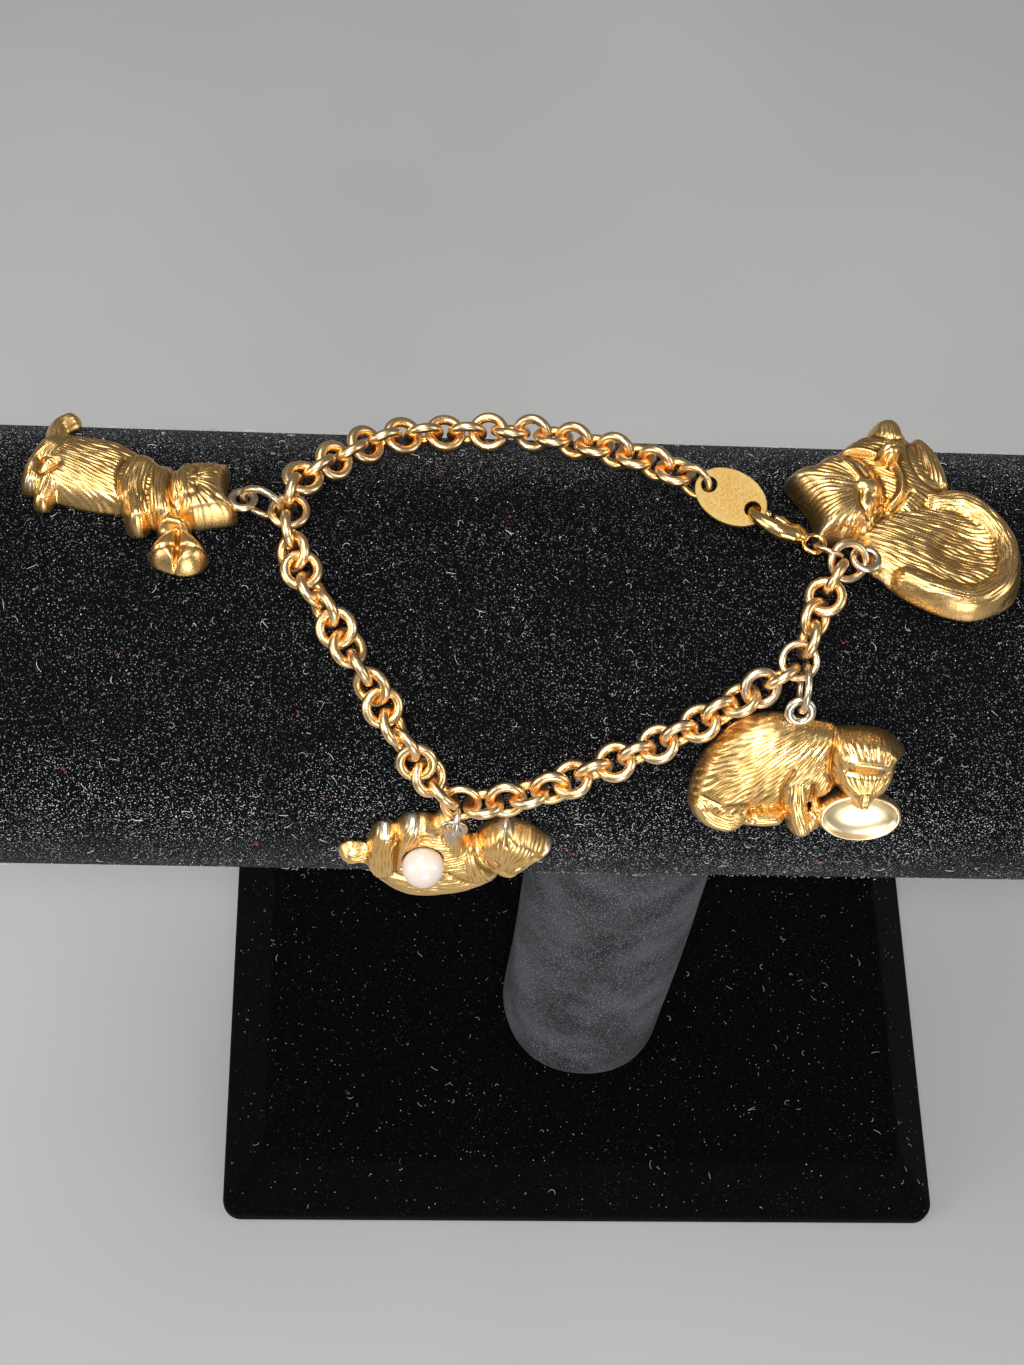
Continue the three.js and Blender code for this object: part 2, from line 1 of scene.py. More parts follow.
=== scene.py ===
# %% [markdown]
# # A charm bracelet on its velvet display bar
# The real thing is a loop of round cable links, plated in gold, laid over a bar that is covered in black
# velvet. Four cast cats hang from it, and a lobster clasp closes it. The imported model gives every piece
# its size and its place; this lesson makes the surfaces that are seen. Each one is a formula on a grid of
# numbers, worked out with numpy.

# %% Load the frame
import math

import bpy
import numpy as np
from mathutils import Matrix, Vector


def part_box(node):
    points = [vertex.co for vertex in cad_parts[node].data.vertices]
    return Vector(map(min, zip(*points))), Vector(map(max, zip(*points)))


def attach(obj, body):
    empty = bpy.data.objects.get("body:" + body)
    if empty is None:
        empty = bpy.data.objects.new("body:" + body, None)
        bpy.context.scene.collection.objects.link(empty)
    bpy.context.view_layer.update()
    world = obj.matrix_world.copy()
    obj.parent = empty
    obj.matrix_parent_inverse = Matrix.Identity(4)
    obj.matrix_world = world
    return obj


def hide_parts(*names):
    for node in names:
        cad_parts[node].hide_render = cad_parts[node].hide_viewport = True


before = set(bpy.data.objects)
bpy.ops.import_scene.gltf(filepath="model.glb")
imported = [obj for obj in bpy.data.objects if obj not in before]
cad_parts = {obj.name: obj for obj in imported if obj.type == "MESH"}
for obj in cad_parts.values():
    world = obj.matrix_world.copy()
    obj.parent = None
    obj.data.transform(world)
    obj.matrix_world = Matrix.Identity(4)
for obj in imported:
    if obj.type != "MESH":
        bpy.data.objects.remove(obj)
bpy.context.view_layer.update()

MM = 0.001  # the formulas below are in millimetres, Blender's scene is in metres
BODY = "bracelet_on_stand"
LEVER_BODY = "clasp_lever"

# %% [markdown]
# ## From arrays to a mesh
# A piece could be modelled by hand, vertex by vertex, or put together from primitives. Here a shape is a
# small dictionary of arrays: its points, its faces, and two numbers for each point that the finishes
# read. The first says how deep in a recess the point lies, and the finish paints shade there by it; the
# second says how much of the plating has gone, and on velvet how many painted glints show. Arrays are
# quick, and can be measured.

# %% Shapes
def shape(points, faces, hollow=0.0, worn=0.0):
    """A shape in millimetres: points (n, 3), a list of face arrays (k, 3) or (k, 4), and the finish's two
    numbers."""
    points = np.asarray(points, float)
    form = {"points": points, "faces": faces}
    for key, value in (("hollow", hollow), ("worn", worn)):
        form[key] = np.broadcast_to(np.asarray(value, float), len(points)).copy()
    return form


def joined(shapes):
    """Several shapes as one: their points end to end, each one's faces counted on from those before."""
    starts = np.cumsum([0] + [len(s["points"]) for s in shapes[:-1]])
    faces = [face + start for s, start in zip(shapes, starts) for face in s["faces"]]
    stacked = {key: np.concatenate([s[key] for s in shapes]) for key in ("points", "hollow", "worn")}
    return shape(stacked["points"], faces, stacked["hollow"], stacked["worn"])


def make_piece(name, form, material, node=None, body=BODY):
    """Puts a shape into a mesh object that rides on a body and stands for a CAD node."""
    sizes = np.concatenate([np.full(len(face), face.shape[1]) for face in form["faces"]])
    corners = np.concatenate([face.ravel() for face in form["faces"]])
    mesh = bpy.data.meshes.new(name)
    mesh.vertices.add(len(form["points"]))
    mesh.vertices.foreach_set("co", (form["points"] * MM).astype(np.float32).ravel())
    mesh.loops.add(len(corners))
    mesh.loops.foreach_set("vertex_index", corners.astype(np.int32))
    mesh.polygons.add(len(sizes))
    mesh.polygons.foreach_set("loop_start", (np.cumsum(sizes) - sizes).astype(np.int32))
    mesh.polygons.foreach_set("use_smooth", np.ones(len(sizes), bool))
    for key in ("hollow", "worn"):
        mesh.attributes.new(key, "FLOAT", "POINT").data.foreach_set("value", form[key].astype(np.float32))
    mesh.update(calc_edges=True)
    mesh.validate()
    mesh.materials.append(material)
    piece = bpy.data.objects.new(name, mesh)
    bpy.context.scene.collection.objects.link(piece)
    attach(piece, body)
    if node:
        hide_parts(node)
    print(f"{name}: {int((sizes - 2).sum())} triangles")
    return piece


# %% Skins over a grid
def skin(grid, ring=False, **finish):
    """A closed skin over points (rows, columns, 3) whose columns run round: each square of neighbours is a
    face. The rows close into a ring too, or else a fan of triangles to the end row's middle closes each
    end."""
    rows, columns = grid.shape[:2]
    index = np.arange(rows * columns).reshape(rows, columns)
    near = index if ring else index[:-1]
    far = np.roll(index, -1, axis=0) if ring else index[1:]
    corners = [near, np.roll(near, -1, axis=1), np.roll(far, -1, axis=1), far]
    squares = np.stack(corners, axis=-1).reshape(-1, 4)
    points = grid.reshape(-1, 3)
    if ring:
        return shape(points, [squares], **finish)
    ends = np.array([grid[0].mean(0), grid[-1].mean(0)])
    first, last = index[0], index[-1]
    fans = [
        np.stack([np.full(columns, rows * columns), np.roll(first, -1), first], axis=-1),
        np.stack([np.full(columns, rows * columns + 1), last, np.roll(last, -1)], axis=-1),
    ]
    for key, value in finish.items():
        if np.ndim(value):
            finish[key] = np.append(value, [value[0], value[-1]])
    return shape(np.concatenate([points, ends]), [squares, *fans], **finish)


def outward_facing(form):
    """Turns a closed shape's faces over if the volume inside them comes out negative."""
    points = form["points"]
    volume = 0.0
    for face in form["faces"]:
        a, b, c = (points[face[:, i]] for i in (0, 1, 2))
        volume += np.einsum("ij,ij->i", a, np.cross(b, c)).sum()
        if face.shape[1] == 4:
            d = points[face[:, 3]]
            volume += np.einsum("ij,ij->i", a, np.cross(c, d)).sum()
    if volume < 0:
        form["faces"] = [face[:, ::-1] for face in form["faces"]]
    return form


def smooth_step(value, low, high):
    """0 below low, 1 above high, and between them 3t squared less 2t cubed."""
    t = np.clip((value - low) / (high - low), 0, 1)
    return t * t * (3 - 2 * t)


def unit(vectors):
    """Each vector at length 1."""
    return vectors / np.linalg.norm(vectors, axis=-1, keepdims=True)


def tube(path, radius, normal, thick=None, sides=14):
    """A bent rod: at each point of the path a round section of that radius, in the plane across the path.
    The normal is one direction that is across the whole path; thick is the section's half thickness along
    it, if not round."""
    path = np.asarray(path, float)
    radius = np.broadcast_to(radius, len(path))
    thick = radius if thick is None else thick * np.ones(len(path))
    along = unit(np.gradient(path, axis=0))
    side = unit(np.cross(along, normal))
    up = unit(np.cross(side, along))
    turn = np.linspace(0, 2 * np.pi, sides, endpoint=False)[None, :, None]
    sections = path[:, None] + radius[:, None, None] * np.cos(turn) * side[:, None]
    sections = sections + thick[:, None, None] * np.sin(turn) * up[:, None]
    return outward_facing(skin(sections))


def rod(path, radius, normal, sides=14, thick=None):
    """A tube whose two ends are rounded: three more sections at each end, shrinking as a quarter circle
    does."""
    path = np.asarray(path, float)
    radius = np.broadcast_to(radius, len(path)).astype(float)
    bend = np.radians([80.0, 55.0, 28.0])
    start, end = unit(path[0] - path[1]), unit(path[-1] - path[-2])
    head = path[0] + radius[0] * np.sin(bend)[:, None] * start
    tail = path[-1] + radius[-1] * np.sin(bend[::-1])[:, None] * end
    shrink = np.concatenate([np.cos(bend), np.ones(len(path)), np.cos(bend[::-1])])
    width = np.concatenate([np.full(3, radius[0]), radius, np.full(3, radius[-1])]) * shrink
    height = None if thick is None else thick * shrink
    return tube(np.concatenate([head, path, tail]), width, normal, height, sides)


def spline(points, steps=8, closed=False):
    """A smooth curve through points: on each span, the Catmull-Rom cubic of the four points around it."""
    p = np.array(points, float)
    before, after = (p[-1:], p[:2]) if closed else (2 * p[:1] - p[1:2], 2 * p[-1:] - p[-2:-1])
    knots = np.concatenate([before, p, after])
    a, b, c, d = (knots[i : len(knots) - 3 + i, None] for i in range(4))
    t = (np.arange(steps) / steps)[None, :, None]
    square = (2 * a - 5 * b + 4 * c - d) * t**2
    cube = (3 * b - a - 3 * c + d) * t**3
    curve = (0.5 * (2 * b + (c - a) * t + square + cube)).reshape(-1, p.shape[1])
    return curve if closed else np.concatenate([curve, p[-1:]])


# %% [markdown]
# ## The stage
# A pale floor, soft light from large panels, and one small panel close to the camera. Polished metal
# shows what is around it more than its own colour, so the panels matter as much as the gold does. The
# camera looks down at the bar.

# %% Camera and lights
CAMERA_PLACE = (-0.03973, -0.14109, 0.37503)
CAMERA_TURNS = ((-8.0635, "Z"), (29.5575, "X"), (8.2984, "Z"))  # heading, tilt and roll in degrees


def add_camera():
    camera = bpy.data.objects.new("camera", bpy.data.cameras.new("camera"))
    camera.data.lens = 59.46
    camera.data.sensor_width = 36
    camera.data.clip_start = 0.01
    heading, tilt, roll = (Matrix.Rotation(math.radians(angle), 4, axis) for angle, axis in CAMERA_TURNS)
    camera.matrix_world = Matrix.Translation(CAMERA_PLACE) @ (heading @ tilt @ roll)
    bpy.context.scene.collection.objects.link(camera)
    bpy.context.scene.camera = camera


PANEL_AIM = (-0.02, 0.0, 0.13)


def add_panel(name, place, size, watts):
    """A rectangular light that faces the bracelet."""
    panel = bpy.data.lights.new(name, "AREA")
    panel.shape = "RECTANGLE"
    panel.size, panel.size_y = size
    panel.energy = watts
    lamp = bpy.data.objects.new(name, panel)
    lamp.location = place
    lamp.rotation_euler = (Vector(PANEL_AIM) - Vector(place)).to_track_quat("-Z", "Y").to_euler()
    bpy.context.scene.collection.objects.link(lamp)


def add_world(level):
    world = bpy.data.worlds.new("studio")
    world.use_nodes = True
    world.node_tree.nodes["Background"].inputs["Color"].default_value = (*level, 1)
    bpy.context.scene.world = world


add_camera()
add_world((0.15, 0.15, 0.155))
add_panel("overhead_panel", (-0.25, 0.10, 0.95), (0.6, 0.4), 3.2)
add_panel("left_panel", (-0.75, -0.25, 0.45), (0.4, 0.5), 2.2)
add_panel("right_panel", (0.75, -0.2, 0.5), (0.3, 0.5), 1.5)
add_panel("front_panel", (0.15, -0.9, 0.25), (0.4, 0.3), 2.6)
add_panel("camera_panel", (-0.06, -0.26, 0.60), (0.12, 0.08), 2.2)
bpy.context.scene.view_settings.view_transform = "Standard"

# %% [markdown]
# ## Finishes
# A finish is a small tree of nodes. The helper below makes a node, fills in its sockets and links the
# ones that are given another node's output, which keeps each finish to a few lines.

# %% Node helper
def add_node(tree, kind, inputs=(), **settings):
    """One shader node: settings are its own fields, inputs are pairs of socket and value or output to
    link."""
    made = tree.nodes.new("ShaderNode" + kind)
    for key, value in settings.items():
        setattr(made, key, value)
    for socket, value in inputs:
        if isinstance(value, bpy.types.NodeSocket):
            tree.links.new(value, made.inputs[socket])
        else:
            made.inputs[socket].default_value = value
    return made


def new_finish(name):
    finish = bpy.data.materials.new(name)
    finish.use_nodes = True
    return finish, finish.node_tree, finish.node_tree.nodes["Principled BSDF"]


def grain(tree, scale, detail=2.0, roughness=0.5):
    """Noise fixed to the piece's own coordinates, in metres."""
    where = add_node(tree, "TexCoord").outputs["Object"]
    inputs = [("Vector", where), ("Scale", scale), ("Detail", detail), ("Roughness", roughness)]
    return add_node(tree, "TexNoise", inputs).outputs["Fac"]


def ramp(tree, value, low, high, to=(0.0, 1.0)):
    """A straight ramp: value low gives to[0], value high gives to[1], and it stays level beyond them."""
    inputs = [("Value", value), ("From Min", low), ("From Max", high), ("To Min", to[0]), ("To Max", to[1])]
    return add_node(tree, "MapRange", inputs).outputs["Result"]


def blend(tree, factor, first, second):
    """The first colour turning into the second as the factor goes from 0 to 1."""
    made = add_node(tree, "Mix", data_type="RGBA", blend_type="MIX")
    for socket, value in ((0, factor), (6, first), (7, second)):
        if isinstance(value, bpy.types.NodeSocket):
            tree.links.new(value, made.inputs[socket])
        elif socket:
            made.inputs[socket].default_value = (*value, 1)
        else:
            made.inputs[socket].default_value = value
    return made.outputs[2]


def times(tree, first, second):
    return add_node(tree, "Math", [(0, first), (1, second)], operation="MULTIPLY").outputs[0]


def reading(tree, name):
    """The number that each point of a piece carries under that name."""
    return add_node(tree, "Attribute", attribute_name=name).outputs["Fac"]


# %% [markdown]
# ### Plated metal
# The bracelet is a base metal with a thin coat of gold. In the recesses its colour turns darker and more
# orange, which is painted shade, and it has gone grey where pieces rub. So the colour is mixed by the two
# numbers that each shape carries, with broad noise for uneven plating and fine noise for the roughness
# that breaks up the reflections.

# %% Plated metal
def plated_metal(name, colour, recess_shade_colour, bare, roughness, pits):
    """Gold plate: its colour, the colour of the painted shade in its recesses, the metal under it, the
    range of its roughness and the strength of its pits."""
    finish, tree, shader = new_finish(name)
    uneven = grain(tree, 420, 3)
    fine = grain(tree, 5200, 2, 0.7)
    deeper = tuple(part * share for part, share in zip(colour, (0.95, 0.88, 0.72)))
    tone = blend(tree, ramp(tree, uneven, 0.3, 0.7), colour, deeper)
    # Painted shade: the colour turns to the recess colour where the point lies in a recess.
    tone = blend(tree, ramp(tree, reading(tree, "hollow"), 0.02, 0.8), tone, recess_shade_colour)
    patchy = ramp(tree, grain(tree, 1500, 2), 0.35, 0.65, (0.55, 1.0))
    patchy = times(tree, reading(tree, "worn"), patchy)
    tone = blend(tree, patchy, tone, bare)
    tree.links.new(tone, shader.inputs["Base Color"])
    shader.inputs["Metallic"].default_value = 1.0
    tree.links.new(ramp(tree, fine, 0.25, 0.75, roughness), shader.inputs["Roughness"])
    bump = add_node(tree, "Bump", [("Strength", pits), ("Distance", 0.00005), ("Height", fine)])
    tree.links.new(bump.outputs["Normal"], shader.inputs["Normal"])
    return finish


# The gold's colour, the colour of the painted shade in recesses, and the bare metal under the plate.
GOLD = (0.90, 0.60, 0.26)
RECESS_SHADE = (0.93, 0.53, 0.15)
BARE_METAL = (0.55, 0.54, 0.48)
link_gold = plated_metal("link_gold", (0.94, 0.67, 0.38), RECESS_SHADE, BARE_METAL, (0.24, 0.38), 0.15)
cast_gold = plated_metal("cast_gold", GOLD, (0.50, 0.26, 0.06), BARE_METAL, (0.22, 0.40), 0.3)
clasp_gold = plated_metal("clasp_gold", (0.95, 0.66, 0.26), RECESS_SHADE, BARE_METAL, (0.14, 0.26), 0.08)
tag_gold = plated_metal("tag_gold", (0.38, 0.27, 0.10), (0.36, 0.17, 0.03), BARE_METAL, (0.40, 0.60), 0.5)
bowl_gold = plated_metal("bowl_gold", (0.95, 0.80, 0.54), RECESS_SHADE, BARE_METAL, (0.30, 0.42), 0.05)
RING_METAL = (0.62, 0.62, 0.57)
worn_ring = plated_metal("worn_ring", (0.78, 0.62, 0.42), (0.62, 0.42, 0.2), RING_METAL, (0.22, 0.38), 0.3)


# %% [markdown]
# ### Pearl and velvet
# A pearl is a bright body under a clear skin: a pale base, a faint sheen, and a coat. Velvet is the
# opposite, a pile of fine black threads that stand up. It sends light back at grazing angles, which the
# sheen does, and single threads catch the light as glints, painted in where sharp fine noise is high.
# The second number that each point carries, with broad noise, sets how many of these painted glints show.

# %% Pearl and velvet
def pearl_finish():
    finish, tree, shader = new_finish("nacre")
    cloud = ramp(tree, grain(tree, 260, 2), 0.35, 0.65)
    tree.links.new(blend(tree, cloud, (0.70, 0.57, 0.48), (0.76, 0.66, 0.58)), shader.inputs["Base Color"])
    shader.inputs["Roughness"].default_value = 0.22
    shader.inputs["Coat Weight"].default_value = 0.8
    shader.inputs["Coat Roughness"].default_value = 0.08
    shader.inputs["Sheen Weight"].default_value = 0.15
    shader.inputs["Sheen Tint"].default_value = (1.0, 0.75, 0.72, 1)
    return finish


def velvet_finish(name, ground, painted_glint, threshold, sheen, patch=None):
    """Velvet: its dark ground, the colour of the glints painted where threads would catch the light, the
    noise at which they start and are full, its sheen, and the colour of patches where the pile is pressed
    flat, if there are any."""
    finish, tree, shader = new_finish(name)
    threads = grain(tree, 4600, 1, 0.8)
    # How many painted glints show: broad noise times the second number each point carries.
    nap = times(tree, ramp(tree, grain(tree, 90, 3, 0.6), 0.3, 0.7, (0.3, 1.0)), reading(tree, "worn"))
    # Painted glints: the colour turns pale where the fine noise is high.
    painted_glints = times(tree, ramp(tree, threads, *threshold), nap)
    base = ground
    if patch:
        pressed = ramp(tree, grain(tree, 75, 3, 0.55), 0.42, 0.62)
        base = blend(tree, pressed, ground, patch)
    tree.links.new(blend(tree, painted_glints, base, painted_glint), shader.inputs["Base Color"])
    shader.inputs["Roughness"].default_value = 0.9
    shader.inputs["Specular IOR Level"].default_value = 0.06
    shader.inputs["Sheen Weight"].default_value = sheen
    shader.inputs["Sheen Roughness"].default_value = 0.28
    shader.inputs["Sheen Tint"].default_value = (0.90, 0.92, 1.0, 1)
    bump = add_node(tree, "Bump", [("Strength", 0.9), ("Distance", 0.0002), ("Height", threads)])
    tree.links.new(bump.outputs["Normal"], shader.inputs["Normal"])
    return finish


def lint_finish():
    finish, tree, shader = new_finish("lint")
    tint = ramp(tree, grain(tree, 700, 1), 0.3, 0.7)
    tone = blend(tree, tint, (0.42, 0.43, 0.47), (0.78, 0.78, 0.80))
    red = ramp(tree, grain(tree, 160, 1), 0.66, 0.68)
    tree.links.new(blend(tree, red, tone, (0.55, 0.08, 0.12)), shader.inputs["Base Color"])
    shader.inputs["Roughness"].default_value = 0.6
    return finish


nacre = pearl_finish()
# Each velvet's second colour is the colour of its painted glints.
bar_velvet = velvet_finish("bar_velvet", (0.0014, 0.0014, 0.0017), (0.90, 0.91, 0.97), (0.62, 0.70), 0.045)
base_velvet = velvet_finish("base_velvet", (0.0006, 0.0006, 0.0007), (0.22, 0.22, 0.24), (0.70, 0.78), 0.01)
STEM_DARK, STEM_PAINTED_GLINT, STEM_PRESSED = (0.008, 0.008, 0.009), (0.50, 0.51, 0.54), (0.055, 0.056, 0.060)
stem_velvet = velvet_finish("stem_velvet", STEM_DARK, STEM_PAINTED_GLINT, (0.58, 0.70), 0.1, STEM_PRESSED)
lint = lint_finish()
print("finishes:", ", ".join(m.name for m in bpy.data.materials))

# %% [markdown]
# ## The stand
# The stand is three velvet-covered blocks: a round bar, a post and a bevelled base. The CAD model has
# them as flat facets, so each one is drawn again as a smooth formula in the same place, with the slight
# unevenness of padding.

# %% The bar and its axis
low, high = (np.array(corner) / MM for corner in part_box("stand_bar"))
bar_radius = (high[2] - low[2]) / 2
bar_axis = (high[2] + low[2]) / 2
bar_half = (high[0] - low[0]) / 2
BAR_EDGE = 1.6  # how round the ends' edges are
BAR_GAP = 0.06  # how far inside the model's bar the pile lies, so that its waves don't stand out of it


def velvet_bar():
    """The bar: x runs along it and the angle round it. Its radius is the bar's, shrinking round the ends'
    edges as a quarter circle does, with two slow waves a twentieth of a millimetre deep. Few glints are
    painted in a band that faces up and a little forward, and more beyond it, where velvet seen at a grazing
    angle shines."""
    edge = np.radians(np.linspace(0, 90, 7))
    inset = BAR_EDGE * (1 - np.sin(edge))
    x_end = bar_half - BAR_EDGE * (1 - np.cos(edge))[::-1]
    middle = np.linspace(-x_end[0], x_end[0], 160)
    x = np.concatenate([-x_end[::-1], middle[1:-1], x_end])
    drop = np.concatenate([inset, np.zeros(len(middle) - 2), inset[::-1]])
    turn = np.linspace(0, 2 * np.pi, 144, endpoint=False)
    waves = 0.05 * np.sin(x[:, None] / 17 + 2 * np.sin(turn)) * np.sin(3 * turn)
    radius = (bar_radius - BAR_GAP - drop)[:, None] + waves
    y, z = radius * np.sin(turn), bar_axis + radius * np.cos(turn)
    grid = np.stack([x[:, None] + 0 * turn, y, z], axis=-1)
    forward = np.degrees((np.pi - turn) % (2 * np.pi) - np.pi)
    # Painted glints: a quarter strength within 28 degrees of a direction 18 degrees forward of the top,
    # full beyond 62.
    glint_band = 0.25 + 0.75 * smooth_step(np.abs(forward - 18), 28, 62)
    return outward_facing(skin(grid, worn=np.broadcast_to(glint_band, grid.shape[:2]).ravel()))


make_piece("velvet_bar", velvet_bar(), bar_velvet, "stand_bar")
print("bar: radius", round(bar_radius, 2), "mm, axis at", round(bar_axis, 2), "mm")


# %% The post
def velvet_stem():
    """The post: a cylinder whose height runs from its foot to the underside of the bar, which is the axis
    height less the square root of the bar's radius squared less y squared. Its wall swells a little with
    the padding."""
    low, high = (np.array(corner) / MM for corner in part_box("stand_stem"))
    radius = (high[0] - low[0]) / 2
    turn = np.linspace(0, 2 * np.pi, 96, endpoint=False)
    rise = np.linspace(0, 1, 60)[:, None]
    foot_edge = np.clip(rise / 0.02, 0, 1)
    rounding = 0.8 * (1 - np.sqrt(1 - (1 - foot_edge) ** 2))
    wall = radius - 0.15 - rounding + 0.12 * np.sin(5 * turn + 9 * rise)
    x, y = wall * np.cos(turn), wall * np.sin(turn)
    top = bar_axis - np.sqrt((bar_radius + 0.3) ** 2 - y**2)
    return outward_facing(skin(np.stack([x, y, low[2] + rise * (top - low[2])], axis=-1), worn=0.8))


make_piece("velvet_stem", velvet_stem(), stem_velvet, "stand_stem")

# %% The base
BASE_RIM = 3.2  # the height of its upright rim
BASE_BEVEL = 7.0  # how far in the slope above the rim reaches
BASE_CORNER = 3.0  # the radius of its corners, seen from above


def rounded_rectangle(half_length, half_width, corner, steps=10):
    """The outline of a rectangle with round corners: a quarter circle about each corner's centre in turn,
    with the straight sides between them filled in evenly."""
    turn = np.linspace(0, np.pi / 2, steps)
    quarters = []
    for start, sx, sy in ((0, 1, 1), (1, -1, 1), (2, -1, -1), (3, 1, -1)):
        angle = turn + start * np.pi / 2
        centre = np.array([sx * (half_length - corner), sy * (half_width - corner)])
        quarters.append(centre + corner * np.stack([np.cos(angle), np.sin(angle)], axis=-1))
    sides = []
    for here, after in zip(quarters, quarters[1:] + quarters[:1]):
        t = np.linspace(0, 1, 22)[1:-1, None]
        sides += [here, here[-1] + t * (after[0] - here[-1])]
    return np.concatenate(sides)


def velvet_base():
    """The base: its outline drawn in by an inset at each height. The rim is upright, the bevel straight and
    every edge between them an arc, and the top closes towards the middle."""
    low, high = (np.array(corner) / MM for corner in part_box("stand_base"))
    half, tall = (high - low)[:2] / 2, high[2]
    top = tall - 0.1
    under = [(9, 0.15), (0.6, 0.15), (0.12, 0.6)]
    corners = np.array([*under, (0.12, BASE_RIM), (BASE_BEVEL, top), (12, top)])
    t = np.linspace(0, 1, 5)[:, None]
    profile = [corners[0]]
    for a, b, c in zip(corners[:-2], corners[1:-1], corners[2:]):
        into = b + (a - b) * min(0.8 / np.linalg.norm(a - b), 0.4)
        out = b + (c - b) * min(0.8 / np.linalg.norm(c - b), 0.4)
        profile += list((1 - t) ** 2 * into + 2 * t * (1 - t) * b + t**2 * out)
    profile.append(corners[-1])
    rows = []
    for inset, z in profile:
        outline = rounded_rectangle(*(half - inset), BASE_CORNER)
        rows.append(np.column_stack([outline, np.full(len(outline), z)]))
    return outward_facing(skin(np.array(rows), worn=0.6))


make_piece("velvet_base", velvet_base(), base_velvet, "stand_base")

# %% [markdown]
# ## Reading places off the frame
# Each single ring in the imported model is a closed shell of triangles. Its middle is the mean of its
# corners, its axis is the direction in which they spread least, its radius is their mean distance from
# the axis, and its wire is how far the outermost corner is beyond that. So a fine ring can land exactly
# where the plain one is.

# %% Rings of the frame
def corners_of(node):
    """The corners of a CAD node, each place once, in millimetres."""
    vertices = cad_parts[node].data.vertices
    points = np.empty(len(vertices) * 3)
    vertices.foreach_get("co", points)
    return np.unique(np.round(points.reshape(-1, 3) / MM, 3), axis=0)


def measure_ring(node):
    """A ring's centre, axis, radius and wire radius."""
    points = corners_of(node)
    centre = points.mean(0)
    directions = np.linalg.eigh(np.cov((points - centre).T))[1]
    axis = directions[:, 0]
    flat = points - centre - np.outer((points - centre) @ axis, axis)
    reach = np.linalg.norm(flat, axis=1)
    return centre, axis, reach.mean(), reach.max() - reach.mean()


print("end ring:", [np.round(value, 2) for value in measure_ring("end_ring")])

# %% [markdown]
# ## The chain
# A cable chain is round wire bent into rings, each one through the next. A torus could be added as a
# primitive and copied; a formula on two angles does the same for a whole stretch at once, and also
# paints shade on the inner side of the wire, where the next link sits.

# %% Rings of wire
def torus(centre, axis, radius, wire, worn=0.0, flatness=1.0, steps=40, sides=14):
    """A ring: one angle runs round the ring, the other round its wire. The point is the centre, plus radius
    plus wire times the cosine outward, plus wire times the sine along the axis, squashed by the
    flatness."""
    axis = unit(np.asarray(axis, float))
    start = unit(np.cross(axis, [0.31, 0.83, 0.47]))
    turn = np.linspace(0, 2 * np.pi, steps, endpoint=False)[:, None, None]
    roll = np.linspace(0, 2 * np.pi, sides, endpoint=False)[None, :, None]
    outward = np.cos(turn) * start + np.sin(turn) * np.cross(axis, start)
    grid = centre + (radius + wire * np.cos(roll)) * outward + wire * flatness * np.sin(roll) * axis
    # Painted shade on the inner side of the wire, up to 0.8.
    hollow = np.broadcast_to(np.clip(-1.2 * np.cos(roll), 0, 1) * 0.8, (steps, sides, 1)).ravel()
    return outward_facing(skin(grid, ring=True, hollow=hollow, worn=worn))


# %% [markdown]
# The joined stretches of links have no separate shells to measure, so the chain's route is drawn again
# here, as the model has it: a few places on the unrolled bar with a smooth curve through them. The curve
# is the centripetal kind, whose speed at each point goes with the square root of the gaps beside it, so
# it never loops between close points.

# %% The route over the bar
LINK_WIRE = 1.2
LINK_RADIUS = 1.86
LINK_RIDE = 1.8  # how far off the bar the links' middles are
PITCH = 2.58
CURVE_STEPS = 400
TWIST_EASE = 0.7  # how many links of a twisted stretch are free of twist at each end
ROUTE = [
    # x along the bar and the angle round it; a stop also has its node, its roll, how many links beside it
    # stay square, and how far the stretch after it is twisted in all
    (-0.78, -15.1, "tag_ring", 0, 8, 0),
    (-4.6, -20.6), (-12, -28.5), (-21.5, -35.8), (-30.5, -35.6), (-37.1, -31), (-42.4, -21), (-46.7, -11),
    (-47.7, -2.4, "bow_cat_link", 90, 1, 540),
    (-46.9, 8.5), (-42, 25), (-38, 37.3), (-33.4, 52.6),
    (-27.4, 65.2, "pearl_cat_link", 90, 3, 0),
    (-20, 62.6), (-12, 56), (-2.9, 47), (5, 37.2),
    (10.4, 29.7, "bowl_cat_link", 90, 1, 0),
    (12, 21.5), (14.2, 12.2),
    (16.1, 6.2, "end_ring", 90, 2, 0),
]
ride_radius = bar_radius + LINK_RIDE


def centripetal(points):
    """The curve: on each span a cubic whose end slopes come from the three chords around it, each divided
    by the square root of its own length."""
    p = np.concatenate([2 * points[:1] - points[1:2], points, 2 * points[-1:] - points[-2:-1]])
    a, b, c, d = (p[i : len(p) - 3 + i] for i in range(4))
    ab, bc, cd = (np.sqrt(np.linalg.norm(y - x, axis=1))[:, None] for x, y in ((a, b), (b, c), (c, d)))
    slope_b = ((b - a) / ab - (c - a) / (ab + bc) + (c - b) / bc) * bc
    slope_c = ((c - b) / bc - (d - b) / (bc + cd) + (d - c) / cd) * bc
    t = np.linspace(0, 1, CURVE_STEPS, endpoint=False)[:, None, None]
    square = 3 * (c - b) - 2 * slope_b - slope_c
    cube = 2 * (b - c) + slope_b + slope_c
    spans = b + slope_b * t + square * t**2 + cube * t**3
    return np.concatenate([spans.transpose(1, 0, 2).reshape(-1, 2), points[-1:]])


places = np.array([(row[0], ride_radius * math.radians(row[1])) for row in ROUTE])
curve = centripetal(places)
travelled = np.concatenate([[0], np.cumsum(np.linalg.norm(np.diff(curve, axis=0), axis=1))])
stops = [(row, travelled[i * CURVE_STEPS]) for i, row in enumerate(ROUTE) if len(row) > 2]
print("chain:", round(travelled[-1], 1), "mm along the links")


